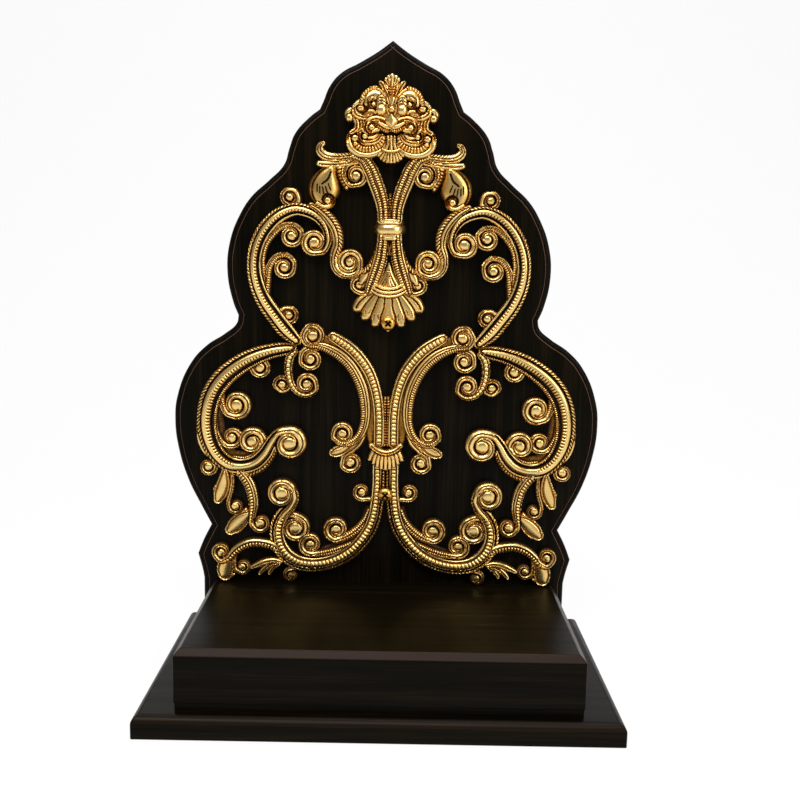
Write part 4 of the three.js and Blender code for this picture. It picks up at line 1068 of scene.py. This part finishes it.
arch = [
    ridge(4, (0.7, 112, 1), (1.15, 108, 2.2), (1.05, 98, 2), (1.05, 84, 2), tone=0.62, deep=2,
          marks=(-1, 1, 1.6, 0)),
    ridge(2.6, (40, 145, 7), (31, 141.6, 8), (24, 136, 8), (18, 129, 8), (13, 120, 8), (9.6, 110, 8),
          (8.8, 99, 8), (9.3, 90, 5), (8.8, 85.5, 3), tone=0.42, deep=1.3),
    strand("twin", 5.8, (38, 140.2, 4), (44, 140.4, 3.8), (49, 137.6, 3.4), (49.6, 131.6, 2.8),
           curl=(44, 133.6, 2.5, 1.15, 5.4)),
    strand("twin", 5.8, (42, 140.4, 3), (46.6, 142.4, 3.4), (48.8, 147.2, 3.2), (45.6, 152.6, 2.8),
           curl=(43, 147, 2.8, 1.3, 5.8)),
    strand("twin", 5.6, (12.8, 91.5, 3.4), (15.5, 85.5, 4.4), (19.5, 81.2, 4), (24.2, 77.6, 3.4),
           (25.4, 72.2, 3), curl=(20.4, 73.6, 2.5, 1.15, 5.4)),
    strand("leaf", 5.6, (17, 86.6, 3), (21.6, 83.4, 5), (26, 80.8, 6.6), (29.8, 79.2, 6), (32, 78.6, 3)),
    strand("ribbed", 6, (46, 141.5, 3), (41, 141.7, 4), (35.5, 140.3, 5.5), (28, 136.5, 6.5),
           (21.5, 130.5, 6.6), (17, 123.5, 6.6), (14, 116, 6.6), (12.5, 108, 6.4), (12.2, 101, 6),
           (13.2, 94.5, 5.5), (16, 88.8, 4.6), (20.4, 85.2, 3.8), (26, 84.6, 3.2), (30.8, 88.6, 3),
           curl=(25.2, 90.6, 2.5, 1.15, 5.4)),
    strand("beaded", 7, (33.5, 147.8, 5.5), (28, 144.6, 6.5), (21.5, 140.3, 7), (15.5, 134.3, 7),
           (10.5, 127, 6.8), (7.3, 119, 6.6), (5.2, 110, 6.5), (4.3, 100, 6.5), (4.2, 90, 6.5),
           (4.2, 82.5, 6.5)),
]

junctionDrop = [
    strand("single", 5.4, (55.4, 121.6, 2.8), (56.4, 116.4, 2.8), (60.6, 114.4, 2.6), (64, 117, 2.4),
           curl=(60.4, 118.6, 2.1, 1.15, 4.4)),
    strand("beaded", 6, (52.2, 138.5, 3), (55.6, 135, 5), (56.9, 129.5, 5.2), (56.5, 124, 4.8),
           (54.8, 118.4, 4), (51, 114, 3.4), (45.6, 112.8, 3), (40.8, 116, 2.8), flip=True,
           curl=(46.2, 119.2, 2.5, 1.15, 5.4)),
]

# A bud with a rim down its outer side, a crease, hatching and a curl. The crease and the hatching are low
# strips toned dark as painted shade
budPod = [
    ridge(7.8, (33.3, 240.2, 6), (35.3, 236.1, 13), (36.9, 230.3, 17.6), (37.1, 224.8, 15),
          (36.7, 220.8, 7), crown=2.2, tone=0.78, deep=5.4, cuts=[0.76]),
    ridge(5.6, (33.1, 238.7, 0.8), (34.7, 234.9, 1), (37.9, 232.1, 0.8), tone=0.1, deep=0),
    ridge(5.9, (36.1, 230.7, 0.5), (35.1, 227.4, 0.6), tone=0.2, deep=0),
    ridge(5.9, (37.7, 230.3, 0.5), (37.1, 226.8, 0.6), tone=0.3, deep=0),
    ridge(5.9, (39.3, 230.5, 0.5), (39.1, 226.8, 0.6), tone=0.3, deep=0),
    ridge(5.9, (40.7, 231.7, 0.5), (40.9, 227.8, 0.6), tone=0.3, deep=0),
    ridge(5.9, (34.5, 232.1, 0.5), (33.1, 228.7, 0.6), tone=0.3, deep=0),
    ridge(7.6, (40.7, 221.8, 2.2), (36.7, 219.6, 2.6), (32.7, 220.6, 2.6), deep=4,
          curl=(34.9, 223.2, 1.9, 0.8, 2.8)),
]

stemFork = [
    ridge(4, (0, 227, 1.6), (0, 220, 2.4), (0, 213, 2.4), tone=0.5, deep=2, marks=(-1, 1, 1.5, 0)),
    strand("finned", 5, (29, 244, 4), (27.8, 239, 5.4), (26, 233.6, 4.4), (24, 229, 2)),
    strand("ribbed", 5.6, (11.5, 241, 3), (14.5, 244.2, 4), (20, 245.2, 4), (25, 242.4, 3.6),
           (26.2, 237, 3), (22.8, 231.8, 2.8), curl=(19.2, 237, 2.5, 1.15, 5.2)),
    strand("stem", 7, (22, 248, 4.4), (15.6, 246, 7), (11.6, 240.8, 8.4), (8.6, 234, 8.6),
           (5.8, 226.5, 8.2), (4.1, 219.5, 7.4), (3.6, 210, 6.8)),
]

stemSkirt = [
    ridge(4, (0, 204, 2.6), (0, 199, 2), (0, 194, 1.4), tone=0.5, deep=2),
    strand("twin", 6.4, (9.4, 177, 2.6), (11, 173.8, 3), (14, 171.8, 3.1), curl=(16.7, 176.6, 2, 1.1, 4)),
    ridge(7.2, (10.8, 184.6, 3), (13, 182.6, 5), (14.8, 179.8, 4.4), (15.8, 177.6, 2.6), deep=4.2),
    strand("plainRope", 5.6, (6.6, 199, 1.8), (8.2, 193, 2.6), (10.4, 188, 3.2), (13, 185, 3.4),
           (15.4, 183.6, 3)),
    strand("stem", 7, (3.5, 207.2, 6.8), (3.8, 200, 7.2), (4.8, 192, 7.9), (6.4, 186, 8.2),
           (8.3, 180.4, 7.8), (10.3, 175.2, 6.4), (12, 170.4, 4.4)),
]

# Pleats, and a band over their top
clasp = [
    ridge(8.1, (6.6, 82.2, 2), (8.3, 79, 2.6), (9.4, 76, 2.1), deep=3.1),
    ridge(8.2, (5.1, 80.8, 2), (6.4, 77.3, 2.6), (7.1, 74, 2.2), deep=3.2),
    ridge(8.3, (3.5, 79.8, 2), (4.4, 76, 2.6), (4.8, 72.2, 2.2), deep=3.3),
    ridge(8.4, (1.8, 79.2, 2), (2.3, 75.3, 2.6), (2.4, 71, 2.2), deep=3.4),
    ridge(8.4, (0, 79, 2), (0, 75, 2.6), (0, 70.6, 2.2), deep=3.4),
    strand("twin", 9, (-9.4, 84.9, 3), (-4.8, 81.2, 3.6), (0, 79.9, 3.6), (4.8, 81.2, 3.6), (9.4, 84.9, 3)),
]

# The guardian face: skin, cheek scrolls, lips, side scrolls, brows, lidded eyes, plume, nose, tongue. The
# lid lines and a few low strips by the mouth are toned dark as painted shade
guardianMask = [
    ridge(7.4, (0, 282.7, 12), (0, 276.8, 24), (0, 270.4, 33), (0, 265.4, 33), (0, 263.4, 32), deep=2.8),
    ridge(3, (0, 258.5, 2.4), (3.5, 259.1, 2.2), (6.5, 260.5, 1.4), tone=0, deep=0),
    ridge(7.8, (4.5, 251.6, 2.4), (8.3, 249.1, 3.2), (12.8, 248.1, 3.4), (18.1, 248.8, 3.4),
          (22.3, 252, 3.4), (23.6, 256.1, 3.2), curl=(20, 257.3, 2, 0.9, 3.1)),
    ridge(8.5, (3.9, 258.1, 2.4), (5.7, 254.3, 3.6), (9.1, 252, 3.8), (13.2, 251.2, 3.8),
          (17.1, 251.9, 3.4), (19.7, 254.2, 2.6), marks=(-1, 1, 1.7, 0)),
    ridge(9.1, (5.3, 258.9, 2.2), (7.3, 256.2, 3), (11, 254.7, 3.4), (14.8, 254.8, 3.2), cuts=[0.1],
          curl=(14.6, 258.2, 1.6, 0.9, 2.7)),
    ridge(9.1, (7.9, 258.9, 1.6), (10, 257.5, 2.2), (12.4, 257.4, 1.6)),
    ridge(8.1, (20.3, 268.3, 2.4), (19.1, 265, 3.2), (19.5, 262, 3.2), (22.1, 260.1, 2.6), cuts=[0]),
    ridge(8.5, (16.7, 267.9, 2.2), (15.7, 264.6, 2.8), (16.2, 261.6, 2.8), (18.3, 260.1, 2), cuts=[0]),
    ridge(9.4, (7.5, 260.3, 1.6), (10.8, 259.5, 2), (14.2, 260.1, 1.8), (16.2, 262, 1.6)),
    ridge(7.6, (20.5, 272.5, 2.4), (22.9, 272.3, 3.2), (24.6, 270.3, 3.2), (24.2, 267.8, 2.6), deep=4),
    ridge(8.1, (23.3, 268.4, 4), (23.2, 267.9, 4)),
    ridge(8.7, (8.5, 270.1, 2.4), (11.8, 268.5, 3), (16.2, 268.2, 3.2), (19.9, 269.9, 3),
          (20.7, 273.3, 2.8), cuts=[0.15], curl=(16.9, 273.3, 2, 0.9, 2.9)),
    ridge(8.5, (14.4, 278.6, 2), (16.6, 277.2, 2.6), (19.1, 275.8, 2.4), (20.9, 273.9, 2)),
    ridge(9.1, (16.9, 275.6, 2.6), (15.2, 279.2, 3.8), (12.2, 282, 4.2), (8.7, 283.2, 4),
          (5.5, 281.9, 3.2), marks=(-1, -0.1, 1.4, 0.2)),
    ridge(10.2, (13.8, 275.4, 3), (12.6, 278.4, 5), (9.7, 280, 6), (6.5, 279.4, 5), (4.3, 277.6, 3)),
    ridge(10.4, (10.4, 278.8, 1.8), (12.4, 277.4, 2.2), curl=(10.1, 275.2, 1.3, 0.6, 1.8)),
    ridge(9.6, (8.8, 270.5, 1.6), (10.2, 271.7, 2), (12.6, 271.8, 1.6)),
    ridge(10.8, (5.7, 277.8, 5.6), (5.7, 273.9, 6)),
    # painted shade: the lid lines are thin dark strips
    ridge(10.2, (3.2, 277.6, 0.45), (5.7, 278.8, 0.6), (8.3, 277.6, 0.45), tone=0.15, deep=0),
    ridge(10.3, (3, 275.8, 0.45), (5.7, 277, 0.6), (8.5, 275.8, 0.45), tone=0.15, deep=0),
    ridge(11.9, (5.7, 272.5, 5.9), (5.7, 271.9, 5.9), crown=2),
    ridge(10.2, (0, 281.1, 2), (0, 278.4, 4.2), (0, 275.2, 2)),
    ridge(9.6, (1.7, 275.6, 1.4), (2.6, 278.2, 1.8), (3.3, 280.8, 1.4)),
    ridge(9.5, (1.6, 270.1, 1.6), (2.6, 272.5, 1.8), (2.5, 274.8, 1.4)),
    ridge(10.8, (0, 272.8, 3.6), (0, 272.4, 3.6)),
    ridge(8.6, (2.4, 280, 2.2), (3.9, 282.9, 2.8), (5.3, 285.7, 3), (6.5, 287, 2.2), cuts=[0]),
    ridge(8.5, (3.7, 280, 1.8), (5.5, 281.9, 2), (7.7, 283.5, 1.8)),
    ridge(8.5, (0, 280.4, 3), (0, 283.3, 4), (0, 286.3, 5.2), marks=(-1, 1, 1.5, 0)),
    ridge(8.5, (1.8, 285.3, 1.5), (3.4, 288.8, 1.9)),
    ridge(8.6, (0.9, 285.3, 1.6), (2, 290, 2.2)),
    ridge(8.7, (0, 285.3, 1.8), (0, 290.6, 2.4)),
    ridge(9.9, (2.6, 265.6, 3), (5.7, 267.4, 3.6), (9.5, 267.7, 3.6), (12.8, 266.1, 3.4), cuts=[-0.2],
          curl=(10.6, 262.8, 1.8, 1, 3)),
    ridge(10.4, (3.7, 264.4, 2), (6.1, 265.2, 2.6), (7.9, 264, 2), marks=(-1, 1, 1.3, 0)),
    ridge(10.2, (5.7, 262, 1.6), (7.9, 261.6, 3), (10.4, 260.3, 1.2)),
    ridge(10.4, (0, 262.6, 3.2), (3.5, 263.6, 3), (6.7, 265.4, 2)),
    ridge(10.6, (0, 260.6, 2.2), (3.9, 261.4, 2.1), (7.7, 263.5, 1.6), marks=(-1, 1, 1.2, 0)),
    ridge(12.4, (0, 269.9, 0.9), (0, 266.3, 7.6), (0, 262.6, 0.9), crown=1.3),
    ridge(6, (0, 257.7, 6), (0, 253.2, 6.4), (0, 250.6, 8), tone=0.4),
    ridge(8.6, (1.9, 258.3, 1.7), (1.8, 254.2, 1.8), (2.8, 251.2, 2.2)),
    ridge(8.9, (0, 258.3, 1.8), (0, 254.2, 1.9), (0, 250.8, 2.4)),
    ridge(8.1, (4.4, 250.4, 1.2), (6.7, 248.1, 1.9)),
    ridge(8.1, (3.5, 249.8, 1.3), (5.4, 246.5, 2)),
    ridge(8.2, (2.5, 249.4, 1.4), (3.7, 245.5, 2.1)),
    ridge(8.2, (1.3, 249.1, 1.4), (1.9, 244.9, 2.2)),
    ridge(8.2, (0, 249, 1.5), (0, 244.7, 2.2)),
    ridge(9.4, (0, 250.2, 1.9), (2.6, 250.5, 1.9), (4.7, 251.5, 1.6)),
]

# The shell: a pointed top with nested lines, petals with a groove round each tip, and three ring bands.
# Short lines on the petals are toned dark as painted shade
shellFan = [
    ridge(5, (0, 188.5, 1), (0, 182.4, 6), (0, 176.4, 14), crown=4, deep=2.6),
    ridge(5.6, (0, 185.4, 0.8), (0, 180.6, 3.8), (0, 176.2, 8.6), crown=4, deep=2.6),
    ridge(6.2, (0, 182, 0.8), (0, 178.8, 2.4), (0, 176.2, 4), deep=2.6),
    ridge(5.4, (8.2, 172.4, 4), (12.3, 169.6, 6.4), (16, 166.2, 7.4), (17.6, 163.8, 6.4), crown=3.6,
          tone=0.85, deep=3.6, cuts=[0.2]),
    ridge(5.6, (5.4, 171.6, 4.4), (9, 165.9, 6.8), (12, 161, 7.2), (13.2, 158.7, 5.4), crown=3.6,
          tone=0.8, deep=3.8),
    ridge(5.4, (10.2, 162.6, 0.5), (11.2, 160.2, 0.6), tone=0.35, deep=0.4),
    ridge(5.4, (12.8, 162.4, 0.5), (13.4, 160, 0.6), tone=0.35, deep=0.4),
    ridge(5.8, (3.1, 170.8, 4.4), (4.9, 163.7, 6.6), (6.7, 157.8, 7.2), (7.4, 154.9, 5), crown=3.6,
          tone=0.8, deep=4),
    ridge(5.6, (5.6, 160, 0.5), (5.9, 157, 0.6), tone=0.35, deep=0.4),
    ridge(5.6, (7.8, 160, 0.5), (8.4, 157, 0.6), tone=0.35, deep=0.4),
    ridge(5, (0, 171.2, 4.6), (0, 163.3, 6), (0, 157.4, 9.8), (0, 153.4, 7.4), (0, 151, 2.4), crown=3.6,
          tone=0.8, deep=3.2),
    ridge(6.4, (0, 170.1, 2.2), (5, 170.9, 2.2), (9.5, 173.2, 1.6), deep=2.8),
    ridge(6.8, (0, 172.3, 2.3), (4.6, 173, 2.2), (8.9, 175.2, 1.7), deep=2.8),
    ridge(6.8, (0, 174.6, 2.3), (4, 175.2, 2.2), (7.9, 177.2, 1.7), deep=2.8),
]

# The collar is half a turned band that closes on the panel: radius, height over the seat, brightness; the
# brightness is low in the band's grooves, as patina and painted shade
collarFacts = {
    "depth": 0.95, "sides": 40,
    "profile": [
        (6.9, 201.8, 0.1), (7.2, 202.2, 0.8), (7.3, 203, 1), (7, 203.5, 0.3), (7.3, 203.7, 0.8),
        (7.6, 204.3, 1), (7.5, 204.8, 0.3), (8.2, 205, 0.7), (8.8, 205.7, 0.95), (9, 207, 1),
        (9, 208.4, 1), (8.7, 209.6, 0.95), (8.1, 210.2, 0.6), (7.8, 210.5, 0.2), (8.1, 210.8, 0.7),
        (8.2, 211.5, 1), (8, 212, 0.9), (7.7, 212.2, 0.3), (7.8, 212.5, 0.8), (7.8, 213.1, 1),
        (7.3, 213.5, 0.7)],
}


def collarBody():
    facts = collarFacts
    count, wide = len(facts["profile"]), facts["sides"] + 1
    angles = np.linspace(0, math.pi, wide)
    points = [(r * math.cos(a), brassBack - facts["depth"] * r * math.sin(a), seatTop + z)
              for r, z, _ in facts["profile"] for a in angles]
    marks = np.repeat([bright for _, _, bright in facts["profile"]], wide)
    a = np.arange(count * wide).reshape(count, wide)
    b = np.roll(a, -1, axis=1)
    faces = np.stack([a[:-1], a[1:], b[1:], b[:-1]], axis=2).reshape(-1, 4).tolist()
    return np.array(points) * mm, faces + [a[0].tolist(), a[-1][::-1].tolist()], marks


pairs = {
    "lower_scroll": ("lowerScroll", lowerScroll), "foot_scroll": ("footScroll", footScroll),
    "foot_spray": ("footSpray", footSpray), "drop_sprig": ("dropSprig", dropSprig),
    "upper_wing": ("upperWing", upperWing), "wing_scroll": ("wingScroll", wingScroll),
    "pod": ("pod", budPod), "leaf_spray": ("leafSpray", leafSpray), "arch": ("arch", arch),
    "junction_drop": ("junctionDrop", junctionDrop),
}
for node, (name, strands) in pairs.items():
    addPair(name, node, strands)
addCentred("stemFork", "stem_fork", stemFork)
addCentred("stemSkirt", "stem_skirt", stemSkirt)
addCentred("clasp", "clasp", clasp)
addCentred("guardianMask", "kirtimukha_mask", guardianMask)
addCentred("shellFan", "shell", shellFan)
addCasting("stemCollar", "stem_collar", collarBody())
print("castings made")
